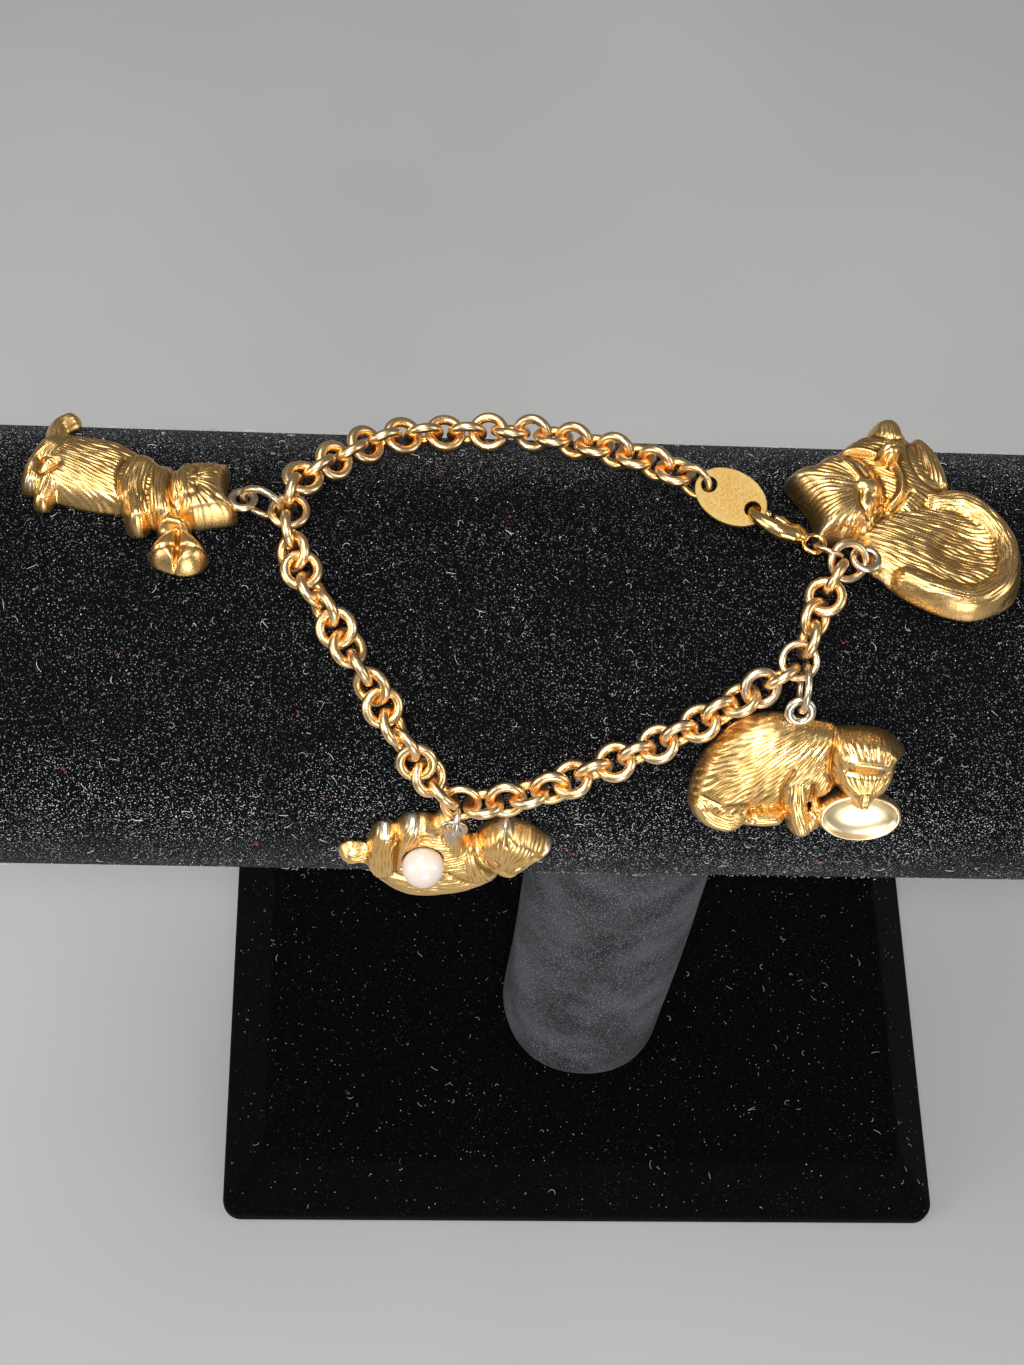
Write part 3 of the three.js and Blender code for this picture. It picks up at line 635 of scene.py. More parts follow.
def links_between(start, end):
    """Where the links of one stretch are: their middles and axes. They are evenly spaced, each turned 90
    degrees on from the last, and they lean over to 45 degrees once they are clear of the stops."""
    (_, _, _, roll, plain, twist), begin = start
    (_, _, _, end_roll, end_plain, _), finish = end
    count = round((finish - begin) / PITCH)
    k = np.arange(1, count)
    at = begin + (finish - begin) * k / count
    x, y = (np.interp(at, travelled, curve[:, i]) for i in (0, 1))
    next_x, next_y = (np.interp(at + 0.05, travelled, curve[:, i]) for i in (0, 1))
    ahead = unit(np.stack([next_x - x, next_y - y], axis=-1))
    lean_in = 45 * smooth_step(k, plain, plain + 3)
    lean_out = 45 * smooth_step(k, count - end_plain - 3, count - end_plain)
    odd = (roll + 90 * count - end_roll) % 180
    share = np.clip((k - TWIST_EASE) / (count - 2 * TWIST_EASE), 0, 1)
    lean = twist * share if twist else lean_in + (lean_out if odd else -lean_out)
    turn = np.radians(roll + 90 * k + lean)[:, None]
    height = LINK_WIRE / 2 + LINK_RADIUS * np.maximum(abs(np.sin(turn)), abs(np.cos(turn))) + 0.03
    angle = (y / ride_radius)[:, None]
    out = np.concatenate([0 * angle, -np.sin(angle), np.cos(angle)], axis=1)
    round_bar = np.concatenate([0 * angle, -np.cos(angle), -np.sin(angle)], axis=1)
    along = ahead[:, :1] * [[1, 0, 0]] + ahead[:, 1:] * round_bar
    middles = np.stack([x, 0 * x, 0 * x + bar_axis], axis=-1) + (bar_radius + height) * out
    across = out * np.cos(turn) + np.cross(along, out) * np.sin(turn)
    return middles, np.cross(along, across)


# %% The four stretches of links
random = np.random.default_rng(7)
for number, (start, end) in enumerate(zip(stops[:-1], stops[1:]), 1):
    links = []
    for middle, axis in zip(*links_between(start, end)):
        worn = max(0.0, random.normal(-0.25, 0.4))
        links.append(torus(middle, axis, LINK_RADIUS, LINK_WIRE / 2, worn))
    make_piece(f"chain_{number}_links", joined(links), link_gold, f"chain_{number}")
    print("links:", len(links))

# %% Carrier links, jump rings and the two end rings
SINGLE_RINGS = [
    # node, finish, slot, worn, and how much thicker its wire is drawn than the plain ring's
    ("bow_cat_link", link_gold, "gold_plate", 0.1, 1.24),
    ("pearl_cat_link", link_gold, "gold_plate", 0.0, 1.24),
    ("bowl_cat_link", link_gold, "gold_plate", 0.45, 1.24),
    ("tag_ring", link_gold, "gold_plate", 0.0, 1.12),
    ("bow_cat_ring", worn_ring, "worn_plate", 0.15, 1.12),
    ("pearl_cat_ring", worn_ring, "worn_plate", 0.95, 1.12),
    ("bowl_cat_ring", worn_ring, "worn_plate", 0.35, 1.12),
    ("end_ring", link_gold, "worn_plate", 0.3, 1.3),
    ("jump_link", link_gold, "gold_plate", 0.1, 1.1),
]
for node, finish, slot, worn, thicker in SINGLE_RINGS:
    centre, axis, radius, wire = measure_ring(node)
    form = torus(centre, axis, radius, wire * thicker, worn, steps=56, sides=18)
    make_piece(node + "_wire", form, finish, node)


# %% [markdown]
# ## The cast cats
# A charm like these is cast flat at the back, with its front modelled in relief and combed all over with
# strokes for fur. It could be sculpted, but a relief is a height over a plane, so it can be a formula:
# every muscle is a form with an outline or a spine, whose height rises from its edge as a round shoulder
# does; the highest form wins, with a soft fillet between neighbours. Strokes, creases, dishes and holes
# are then cut into that height.

# %% Distances over the plane
def over_line(u, v, line):
    """How deep each (u, v) lies inside a line whose third column is its radius: the radius less the
    distance to the nearest place on it, negative outside. Also the radius there, the place along the line
    and the offset across."""
    depth, radius, place, offset = (np.full(u.shape, fill) for fill in (-1e9, 0.0, 0.0, 0.0))
    run = 0.0
    for a, b in zip(line[:-1], line[1:]):
        span = b[:2] - a[:2]
        length = max(np.hypot(*span), 1e-6)
        t = np.clip(((u - a[0]) * span[0] + (v - a[1]) * span[1]) / length**2, 0, 1)
        du, dv = u - a[0] - t * span[0], v - a[1] - t * span[1]
        here = a[2] + t * (b[2] - a[2])
        inside = here - np.hypot(du, dv)
        wins = inside > depth
        depth = np.where(wins, inside, depth)
        radius = np.where(wins, here, radius)
        place = np.where(wins, run + t * length, place)
        offset = np.where(wins, (du * span[1] - dv * span[0]) / length, offset)
        run += length
    return depth, radius, place, offset


def over_outline(u, v, outline):
    """How deep each (u, v) lies inside a closed outline: the distance to its nearest side, with the sign
    given by how many sides a line towards +u crosses."""
    line = np.column_stack([np.concatenate([outline, outline[:1]]), np.zeros(len(outline) + 1)])
    distance = -over_line(u, v, line)[0]
    inside = np.zeros(u.shape, bool)
    for (ua, va, _), (ub, vb, _) in zip(line[:-1], line[1:]):
        if va != vb:
            inside ^= ((va > v) != (vb > v)) & (u < (ub - ua) * (v - va) / (vb - va) + ua)
    return np.where(inside, distance, -distance)


def soften(height, rounds):
    """Each value becomes a mean of itself and its neighbours, weighted 1, 2, 1 both ways, again and
    again."""
    for _ in range(rounds):
        wide = np.pad(height, 1, mode="edge")
        wide = (wide[:-2] + 2 * wide[1:-1] + wide[2:]) / 4
        height = (wide[:, :-2] + 2 * wide[:, 1:-1] + wide[:, 2:]) / 4
    return height


# %% Combed strokes
STROKE = 2.6  # how long one stroke is


def comb_lines(form, u, v, place, offset):
    """Two coordinates for a form's fur: across counts strokes side by side, along counts them end to end. A
    fan spreads from a point, a swirl runs round one, and otherwise the strokes follow the form's own
    spine."""
    spacing = form.get("spacing", 0.4)
    if "fan" in form or "swirl" in form:
        su, sv = form.get("fan", form.get("swirl"))
        mu, mv = np.mean(np.array(form.get("outline", form.get("spine")))[:, :2], axis=0)
        turn = (np.arctan2(v - sv, u - su) - math.atan2(mv - sv, mu - su) + np.pi) % (2 * np.pi) - np.pi
        reach = np.hypot(u - su, v - sv)
        middle = max(math.hypot(mu - su, mv - sv), 2.2)
        if "fan" in form:
            return turn * middle / spacing, reach / STROKE
        return reach / spacing, turn * middle / STROKE
    return offset / spacing, place / STROKE


def strokes(across, along):
    """Grooves between the strokes, 0 to 1: a dip at the middle of each lane that wanders sideways and fades
    in and out along it, each lane in its own time, over broader locks a little more than two lanes wide."""
    wander = 0.25 * np.sin(2.2 * along + 1.7 * np.sin(0.37 * across))
    across = across + wander + 0.1 * np.sin(5.3 * along + across)
    lane = np.floor(across)  # and its luck: what is left of a huge sine is as good as random
    luck = np.abs(np.sin(lane * 12.9898 + 4.1) * 43758.5453) % 1.0
    luck_too = np.abs(np.sin(lane * 78.233 + 1.7) * 24634.6345) % 1.0
    dip = np.exp(-(((across - lane - 0.5) / (0.2 + 0.12 * luck)) ** 2))
    fade = 0.5 + 0.5 * np.cos(2 * np.pi * (along * (0.7 + 0.6 * luck_too) + luck))
    locks = 0.5 + 0.5 * np.sin(2 * np.pi * across / 2.37 + 1.9 * np.sin(1.1 * along))
    return 1.5 * dip * (0.4 + 0.6 * fade) + 0.5 * locks


# %% The relief itself
FILLET = 0.3  # how soft the valley between two forms is
RIM = (0.6, 1.25)  # how high a casting's rim is, and how far in from it the edge is rounded
MARGIN = 2.6  # how far the grid reaches beyond the forms
CAST_ROUNDS = 10  # how often a casting is softened, as thick plating does
NEAR_ROUNDS, BROAD_ROUNDS = 8, 60  # and for comparison with its surroundings


def rounded_rise(form, u, v):
    """A form's height and depth inside. With an outline, the height goes up by the form's rise as a quarter
    ellipse over its edge width; with a spine, the section across it is a half circle, flattened."""
    if "outline" in form:
        depth = over_outline(u, v, spline(form["outline"], 6, closed=True))
        t = np.clip(depth / form["edge"], 0, 1)
        return form["foot"] + form["rise"] * np.sqrt(1 - (1 - t) ** 2.2), depth, 0 * u, 0 * u
    depth, radius, place, offset = over_line(u, v, spline(form["spine"], 5))
    round_top = np.sqrt(np.clip(radius**2 - (radius - np.maximum(depth, 0)) ** 2, 0, None))
    return form["foot"] + form.get("flat", 0.8) * round_top, depth, place, offset


def carve(charm, cell):
    """Works the whole relief out on a grid: height, depth inside the whole outline, how much painted shade
    lies in its recesses, and how worn."""
    rims = [np.array(form.get("outline", form.get("spine")))[:, :2] for form in charm["forms"]]
    low, high = np.concatenate(rims).min(0) - MARGIN, np.concatenate(rims).max(0) + MARGIN
    u, v = np.meshgrid(np.arange(low[0], high[0], cell), np.arange(low[1], high[1], cell), indexing="ij")
    height, inside, across, along, nap = (np.full(u.shape, fill) for fill in (0.7, -1e9, 0.0, 0.0, 0.0))
    for form in charm["forms"]:
        rise, depth, place, offset = rounded_rise(form, u, v)
        rise = np.where(depth > -1.6 * cell, rise, -9.0)
        wins = rise > height
        lanes, lengths = comb_lines(form, u, v, place, offset)
        across, along = np.where(wins, lanes, across), np.where(wins, lengths, along)
        nap = np.where(wins, form.get("nap", 0.11), nap)
        meet = np.clip(FILLET - np.abs(rise - height), 0, None) / FILLET
        height = np.maximum(rise, height) + meet**2 * FILLET / 4
        inside = np.maximum(inside, depth)
    firm = smooth_step(inside, 0.15, 1.0)
    height = height + firm * (soften(height, CAST_ROUNDS) - height)
    rim, turned = charm.get("rim", RIM)
    t = np.clip(inside / turned, 0, 1)
    height = rim + (height - rim) * np.sqrt(1 - (1 - t) ** 2)
    for mark in charm.get("marks", ()):
        line = spline(mark["line"], 6)
        gap = -over_line(u, v, np.column_stack([line, np.zeros(len(line))]))[0]
        shade = np.exp(-((gap / mark["width"]) ** 2))
        height = height - mark["depth"] * shade
        nap = nap * (1 - np.clip(1.5 * shade, 0, 1))
    for dish in charm.get("dishes", ()):
        depth = over_outline(u, v, spline(dish["outline"], 6, closed=True))
        height = height - dish["depth"] * smooth_step(depth, -0.2, dish["slope"])
    height = height - nap * smooth_step(inside, 0.0, 0.3) * strokes(across, along)
    for ball in charm.get("seats", ()):
        gap = np.hypot(u - ball["u"], v - ball["v"])
        seat = ball["w"] - np.sqrt(np.clip(ball["radius"] ** 2 - gap**2, 0, None))
        height = np.where(gap < ball["radius"], np.minimum(height, np.maximum(seat, 0.8)), height)
    for hole in charm.get("holes", ()):
        line = np.array([(*end, hole["radius"]) for end in (hole["start"], hole["end"])])
        inside = np.minimum(inside, -over_line(u, v, line)[0])
    fine, broad = soften(height, NEAR_ROUNDS), soften(height, BROAD_ROUNDS)
    # Painted shade: points lying below their softened surroundings, a little or a lot, get the recess
    # colour.
    hollow = np.clip((fine - height) / 0.06, 0, 1) * 0.75 + np.clip((broad - height) / 0.5, 0, 1) * 0.9
    worn = np.zeros(u.shape)
    for spot in charm.get("worn", ()):
        gap = np.hypot(u - spot[0], v - spot[1])
        worn = np.maximum(worn, smooth_step(spot[2] - gap, -0.15, 0.45))
    return u, v, height, inside, np.clip(hollow, 0, 1) * firm, worn


def relief(charm, place, cell=0.105, back=0.35):
    """The relief as a closed shape. Cells with a corner well inside are kept, corners at the rim slide
    along the slope of the depth onto the outline itself, and a wall and a flat back close the shape
    behind."""
    u, v, height, inside, hollow, worn = carve(charm, cell)
    within = inside > 0.35 * cell
    kept = within[:-1, :-1] | within[1:, :-1] | within[1:, 1:] | within[:-1, 1:]
    slope_u, slope_v = np.gradient(inside, cell)
    steep = np.maximum(slope_u**2 + slope_v**2, 0.25)
    slide = np.where(within, 0.0, np.clip(inside, -2 * cell, 2 * cell)) / steep
    u, v = u - slide * slope_u, v - slide * slope_v
    index = np.arange(u.size).reshape(u.shape)
    i, j = np.nonzero(kept)
    cells = np.stack([index[i, j], index[i + 1, j], index[i + 1, j + 1], index[i, j + 1]], axis=-1)
    shut = np.pad(kept, 1)
    rims = []
    for side, (di, dj) in enumerate(((0, -1), (1, 0), (0, 1), (-1, 0))):
        open_side = ~shut[i + 1 + di, j + 1 + dj]
        rims.append(np.stack([cells[open_side, side], cells[open_side, (side + 1) % 4]], axis=-1))
    rims = np.concatenate(rims)
    used, compact = np.unique(cells, return_inverse=True)
    cells = compact.reshape(-1, 4)
    rims = np.searchsorted(used, rims)
    top = np.column_stack([u.ravel()[used], v.ravel()[used], height.ravel()[used]])
    under = np.column_stack([top[:, :2], np.full(len(top), back)])
    wall = np.column_stack([rims[:, 1], rims[:, 0], rims[:, 0] + len(top), rims[:, 1] + len(top)])
    faces = [cells, wall, cells[:, ::-1] + len(top)]
    finish = [np.tile(values.ravel()[used], 2) for values in (hollow, worn)]
    return outward_facing(shape(place(np.concatenate([top, under])), faces, *finish))


# %% Charm planes
def charm_plane(angle):
    """The plane that touches the bar at an angle from its top, + towards the front: u along the bar, v down
    round it, w straight out. The function carries points (u, v, w) into the scene."""
    a = math.radians(angle)
    out = np.array([0, -math.sin(a), math.cos(a)])
    down = np.array([0, -math.cos(a), -math.sin(a)])
    axes = np.array([[1, 0, 0], down, out])
    contact = np.array([0, 0, bar_axis]) + bar_radius * out
    return lambda points: contact + np.asarray(points, float) @ axes


def cast_loop(place, u, v, w, radius, wire, worn):
    """The eye that is cast on a charm: a ring lying in the charm's plane, a little flattened."""
    normal = place([[0, 0, 1]])[0] - place([[0, 0, 0]])[0]
    return torus(place([[u, v, w]])[0], normal, radius, wire, worn, flatness=0.8, steps=48, sides=16)


# %% [markdown]
# ### The cat with a bow
# This cat walks: a long combed body, a lifted tail, one foreleg in front of the chest, and a large ribbon
# bow under its chin. Its plane touches the bar a little behind the top.

# %% The cat with a bow
BOW_CAT = {
    "forms": [
        {
            "outline": [
                (-60.5, -3.4), (-62.6, -4.3), (-64, -5.1), (-65.7, -6.5), (-67.9, -7.8), (-70.7, -8.3),
                (-73.3, -8.6), (-75.4, -7.9), (-76.4, -6.2), (-77.6, -4.4), (-78.4, -2.3), (-78.0, -0.5),
                (-76.4, 0.3), (-74.2, 1.0), (-70.5, 2.1), (-66.0, 2.8), (-63.4, 4.4), (-61.2, 4.9),
                (-59.5, 3.0),
            ],
            "edge": 4.6, "rise": 3.0, "foot": 0.8, "fan": (-92, -13), "nap": 0.11,
        },  # trunk
        {
            "spine": [(-75.0, -5.4, 2.3), (-76.6, -3.0, 1.7), (-77.1, -1.2, 1.25)],
            "foot": 1.9, "flat": 0.9,
        },  # hind leg
        {"spine": [(-75.0, -1.4, 1.8), (-75.3, 0.2, 1.4), (-75.6, 1.3, 1.15)], "foot": 1.7, "flat": 0.9},
        {
            "spine": [(-62.9, -1.6, 1.5), (-62.5, 1.0, 1.6), (-61.9, 3.0, 1.4)],
            "foot": 2.5, "flat": 0.9, "fan": (-63, -12),
        },
        {
            "spine": [(-64.7, -2.3, 2.0), (-65.2, -0.2, 1.75), (-65.3, 1.8, 1.45), (-64.6, 4.5, 1.4)],
            "foot": 2.7, "flat": 0.95,
        },  # foreleg
        {
            "outline": [
                (-54.75, -4.0), (-54.8, -2.4), (-54.9, -0.9), (-54.6, 0.8), (-53.5, 2.6), (-54.2, 3.6),
                (-56.2, 4.1), (-58.6, 4.6), (-60.2, 3.4), (-60.9, 1.2), (-61.0, -1.6), (-60.4, -3.4),
                (-58.4, -3.9), (-56.4, -4.0),
            ],
            "edge": 2.6, "rise": 2.2, "foot": 2.1, "fan": (-59.6, -0.4), "nap": 0.10,
        },  # head
        {
            "spine": [(-60.2, -1.5, 1.0), (-60.3, 0.2, 1.2), (-60.1, 1.2, 1.0)],
            "foot": 3.4, "flat": 0.9, "nap": 0.03,
        },
        {
            "spine": [(-74.9, -6.6, 1.25), (-75.1, -8.6, 1.25), (-74.9, -10.4, 1.3), (-73.7, -11.4, 1.3)],
            "foot": 0.8, "flat": 1.1,
        },  # tail
        {
            "spine": [(-61.2, 4.9, 1.35), (-59.9, 5.3, 1.35)],
            "foot": 2.0, "flat": 0.9, "nap": 0.0,
        },  # bow's knot
        {
            "outline": [
                (-59.8, 5.3), (-61.6, 6.1), (-62.7, 7.2), (-63.2, 8.6), (-62.6, 10), (-61.2, 10.8),
                (-59.9, 10.9), (-59.5, 8.5),
            ],
            "edge": 1.7, "rise": 1.9, "foot": 1.1, "nap": 0.0, "fan": (-60, 5),
        },
        {
            "outline": [
                (-60.3, 5.3), (-60.4, 8.5), (-60.2, 10.9), (-59, 11.3), (-57.5, 10.8), (-56.5, 9.4),
                (-56.8, 7.9), (-58, 6.4), (-59.2, 5.5),
            ],
            "edge": 1.8, "rise": 2.0, "foot": 1.1, "nap": 0.0, "fan": (-60, 5),
        },
    ],
    "marks": [
        {"line": [(-60.0, 6.4), (-59.95, 8.6), (-60.05, 10.7)], "width": 0.2, "depth": 0.35},
        {"line": [(-62.9, 9.0), (-61.6, 9.0), (-60.3, 8.5)], "width": 0.22, "depth": 0.3},
        {"line": [(-59.8, 8.5), (-58.4, 8.9), (-57.1, 8.9)], "width": 0.22, "depth": 0.3},
        {"line": [(-61.8, 5.6), (-60.6, 5.9), (-59.2, 6.1)], "width": 0.25, "depth": 0.45},
        {"line": [(-60.95, -3.2), (-61.4, 0), (-60.8, 3.6)], "width": 0.35, "depth": 0.4},
        {"line": [(-58.9, -2.4), (-58.3, -1.9), (-58.4, -1.2)], "width": 0.28, "depth": 0.3},
        {"line": [(-58.8, 2.0), (-58.1, 1.6), (-58.2, 0.8)], "width": 0.28, "depth": 0.3},
        {"line": [(-55.6, -3.3), (-56.7, -2.4)], "width": 0.35, "depth": 0.3},
        {"line": [(-54.6, 2.9), (-56.0, 2.2)], "width": 0.35, "depth": 0.3},
        {"line": [(-76.2, -3.4), (-76.0, -1.6), (-74.2, -2.6)], "width": 0.5, "depth": 0.6},
        {"line": [(-67.0, 1.2), (-67.2, -1.4), (-66.6, -3.4)], "width": 0.25, "depth": 0.35},
    ],
    "worn": [(-60.4, -2.0, 0.7), (-77.2, -0.6, 0.5)],
}
place = charm_plane(-8)
bow_cat = joined([relief(BOW_CAT, place), cast_loop(place, -53, 1.1, 2.1, 1.27, 0.5, 0.8)])
make_piece("bow_cat_cast", bow_cat, cast_gold, "bow_cat")

# %% [markdown]
# ### The cat with a pearl
# It lies on its back and holds a pearl against its belly. The pearl is a separate ball that sits in a
# hollow of the casting, so the relief is scooped out by a slightly larger ball.

# %% The cat with a pearl
pearl_low, pearl_high = (np.array(corner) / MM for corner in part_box("pearl"))
pearl_radius = (pearl_high[0] - pearl_low[0]) / 2
PEARL_SEAT = {"u": -31.4, "v": 1.4, "w": 4.4, "radius": pearl_radius + 0.15}
PEARL_CAT = {
    "forms": [
        {
            "outline": [
                (-37.9, 2.5), (-38.1, 5), (-37.4, 7), (-36, 8.8), (-34.4, 10.2), (-32.5, 11), (-29.5, 11),
                (-26.3, 10.2), (-23.6, 8.6), (-21.6, 6.2), (-22.2, 3), (-24.5, 0.8), (-26.0, -0.2),
                (-27.0, -2), (-29, -3), (-32, -3.2), (-35, -1.5), (-37, 0.5),
            ],
            "edge": 4.8, "rise": 2.7, "foot": 0.8, "swirl": (-29, -7), "nap": 0.09,
        },  # trunk
        {
            "spine": [(-24.6, 5.0, 2.4), (-25.4, 2.6, 2.0), (-25.9, 1.2, 1.2)],
            "foot": 2.0, "flat": 0.7, "fan": (-27, -3),
        },
        {
            "outline": [
                (-22, -4.8), (-20.6, -3.3), (-19, -2.4), (-17.4, -0.8), (-16.1, 0.5), (-16.7, 1.7),
                (-17.7, 2.5), (-18.7, 4), (-19.9, 5), (-21.4, 5.3), (-23.2, 4.2), (-24.7, 2), (-25.2, 0),
                (-24.6, -1.8), (-23.3, -3.4),
            ],
            "edge": 3.2, "rise": 2.5, "foot": 1.5, "fan": (-22.2, 4.0), "nap": 0.09,
        },  # head
        {"spine": [(-22.0, 3.6, 1.0), (-20.9, 4.2, 0.9)], "foot": 3.0, "flat": 0.9, "nap": 0.03},  # muzzle
        {
            "spine": [(-33.4, 1.6, 1.8), (-33.2, -1.2, 1.7), (-32.6, -2.6, 1.6)],
            "foot": 1.9, "flat": 0.9,
        },  # forepaw
        {"spine": [(-30.4, -2.6, 1.2), (-31.4, -2.9, 1.3)], "foot": 1.8, "flat": 0.9},
        {
            "spine": [(-28.2, 1.8, 1.9), (-28.1, -0.8, 1.8), (-28.6, -3.6, 1.6)],
            "foot": 1.6, "flat": 0.8,
        },  # elbow
        {
            "spine": [(-36.0, 4.6, 2.0), (-36.1, 1.4, 1.9), (-35.8, -1.0, 1.5)],
            "foot": 1.7, "flat": 0.9,
        },  # hind leg
        {
            "spine": [(-36.8, 3.9, 1.8), (-38.4, 3.4, 1.5), (-39.7, 3.4, 1.7)],
            "foot": 0.8, "flat": 1.0,
        },  # hind foot
    ],
    "marks": [
        {"line": [(-25.4, -0.4), (-24.8, 2.4), (-22.6, 4.8)], "width": 0.3, "depth": 0.4},
        {"line": [(-22.0, -3.6), (-21.6, -2.2)], "width": 0.4, "depth": 0.35},
        {"line": [(-17.2, 0.4), (-18.6, 0.4)], "width": 0.4, "depth": 0.35},
        {"line": [(-23.0, 1.0), (-22.4, 1.7), (-22.5, 2.3)], "width": 0.25, "depth": 0.3},
        {"line": [(-20.4, 2.4), (-19.8, 2.2), (-19.4, 2.6)], "width": 0.25, "depth": 0.3},
        {"line": [(-34.6, 4.2), (-34.6, 1.0), (-34.4, -1.2)], "width": 0.3, "depth": 0.5},
        {"line": [(-37.9, 2.6), (-37.6, 4.6)], "width": 0.3, "depth": 0.3},
        {"line": [(-28.6, 4.2), (-25.2, 6.4), (-22.4, 6.6)], "width": 0.35, "depth": 0.35},
        {"line": [(-34.6, 4.6), (-31.4, 5.6), (-28.6, 4.4)], "width": 0.5, "depth": 0.4},
    ],
    "seats": [PEARL_SEAT],
    "worn": [
        (-21.9, -4.3, 1.1), (-16.4, 0.5, 0.9), (-32.8, -4.0, 0.9), (-36, -2.2, 0.9), (-27.8, -2.8, 1.5),
    ],
}
place = charm_plane(80)
pearl_cat = joined([relief(PEARL_CAT, place), cast_loop(place, -28.1, -3.1, 2.1, 1.27, 0.5, 0.8)])
make_piece("pearl_cat_cast", pearl_cat, cast_gold, "pearl_cat")


# %% The pearl
def ball(centre, radius, rows=48, columns=64):
    """A ball: latitude and longitude, with a wobble a few hundredths of the radius deep, as a real pearl
    has."""
    latitude = np.radians(np.linspace(-88, 88, rows))[:, None]
    longitude = np.linspace(0, 2 * np.pi, columns, endpoint=False)
    size = radius * (0.985 + 0.012 * np.sin(2 * longitude + 3 * latitude))
    flat = size * np.cos(latitude)
    grid = np.stack([flat * np.cos(longitude), flat * np.sin(longitude), size * np.sin(latitude)], axis=-1)
    return outward_facing(skin(grid + centre))


make_piece("pearl_ball", ball((pearl_low + pearl_high) / 2, pearl_radius), nacre, "pearl")

# %% [markdown]
# ### The cat at its bowl
# It crouches over an oval bowl. The bowl is a turned shape, a profile carried round an axis straight out
# of the charm's plane and narrowed across it, and beaded below the rim.

# %% The cat at its bowl
BOWL_CAT = {
    "forms": [
        {
            "outline": [
                (-1.05, 4.2), (-0.75, 1.75), (0, -0.75), (1.25, -2.75), (3, -4.75), (5, -6), (7, -6.5),
                (9, -6.5), (12.75, -5.7), (15.5, -4.9), (16.8, -2), (16.5, 1.5), (15.2, 3.8), (12.5, 4.6),
                (9.5, 5.4), (6.3, 5.8), (4.5, 7.4), (2.8, 8.0), (0.6, 7.2), (-0.7, 6.0),
            ],
            "edge": 6.4, "rise": 3.2, "foot": 0.8, "fan": (18, -9), "nap": 0.115, "spacing": 0.5,
        },  # trunk
        {
            "outline": [
                (-1.05, 4.2), (-0.6, 6.2), (0.8, 7.8), (3.2, 8.7), (4.9, 8.3), (6.1, 7.1), (6.4, 5.4),
                (5.6, 4.6), (3.2, 4.3), (0.8, 3.4),
            ],
            "edge": 2.2, "rise": 2.0, "foot": 1.5, "swirl": (4.5, 1.0), "nap": 0.09,
        },  # thigh
        {
            "spine": [(6.0, 6.5, 1.35), (7.8, 6.6, 1.4), (9.2, 6.5, 1.35)],
            "foot": 1.6, "flat": 1.0, "nap": 0.04,
        },
        {
            "spine": [(13.5, 4.2, 0.9), (14.0, 5.8, 1.0), (13.7, 7.3, 1.25)],
            "foot": 1.3, "flat": 0.9, "nap": 0.05,
        },
        {
            "spine": [(11.0, 1.8, 1.5), (11.4, 4.6, 1.5), (12.2, 7.4, 1.5)],
            "foot": 2.5, "flat": 0.95,
        },  # foreleg
        {
            "outline": [
                (15.2, -4.7), (17, -5.0), (19.5, -4.9), (21.3, -4.4), (22.5, -3.5), (23.6, -2.2),
                (22.8, -1.4), (22.6, 0.5), (21.9, 2.4), (20.5, 3.6), (19.9, 4.6), (18.9, 4.95),
                (17.9, 4.6), (17.2, 3.6), (15.9, 2.4), (15.0, 0.4), (14.7, -2),
            ],
            "edge": 3.4, "rise": 2.5, "foot": 2.1, "fan": (19.2, 3.6), "nap": 0.10,
        },  # head
        {"spine": [(18.9, 2.6, 1.3), (18.9, 3.8, 0.95)], "foot": 3.6, "flat": 0.8, "nap": 0.03},  # muzzle
    ],
    "marks": [
        {"line": [(16.6, -2.2), (18.4, -2.1), (20.8, -1.7)], "width": 0.55, "depth": -0.3},
        {"line": [(16.6, -0.9), (18.4, -0.8), (20.9, -0.8)], "width": 0.45, "depth": 0.45},
        {"line": [(14.9, -4.4), (14.6, -1.6), (15.1, 1.0), (16.6, 3.0)], "width": 0.35, "depth": 0.4},
        {"line": [(18.4, 4.1), (18.9, 4.35), (19.5, 4.1)], "width": 0.18, "depth": 0.25},
        {"line": [(18.6, 3.7), (19.2, 3.7)], "width": 0.3, "depth": -0.2},
        {"line": [(22.9, -2.3), (21.6, -3.4)], "width": 0.3, "depth": 0.3},
        {"line": [(9.6, 4.2), (9.4, 1.6), (10.2, -0.6)], "width": 0.35, "depth": 0.4},
        {"line": [(0.4, 3.4), (3.0, 4.2), (5.8, 4.4), (6.4, 6.4)], "width": 0.3, "depth": 0.35},
        {"line": [(12.9, 1.4), (13.1, 3.2)], "width": 0.35, "depth": 0.6},
    ],
    "holes": [{"start": (13.05, 4.5), "end": (13.1, 5.5), "radius": 0.22}],
    "worn": [(23.3, -2.2, 0.8), (20.5, -1.4, 0.75), (9.2, -5.9, 0.5)],
}
BOWL = {"u": 19.0, "v": 5.95, "narrow": 0.62}
BOWL_PROFILE = [
    # distance from the bowl's axis and height: from under the foot, out round the rim and in to the floor
    (0.3, 0.25), (4.1, 0.25), (4.55, 0.6), (4.8, 1.2), (4.9, 1.8), (4.85, 2.35), (4.7, 2.7), (4.45, 2.8),
    (4.2, 2.62), (3.7, 2.25), (2.6, 1.95), (1.2, 1.84), (0.2, 1.82),
]


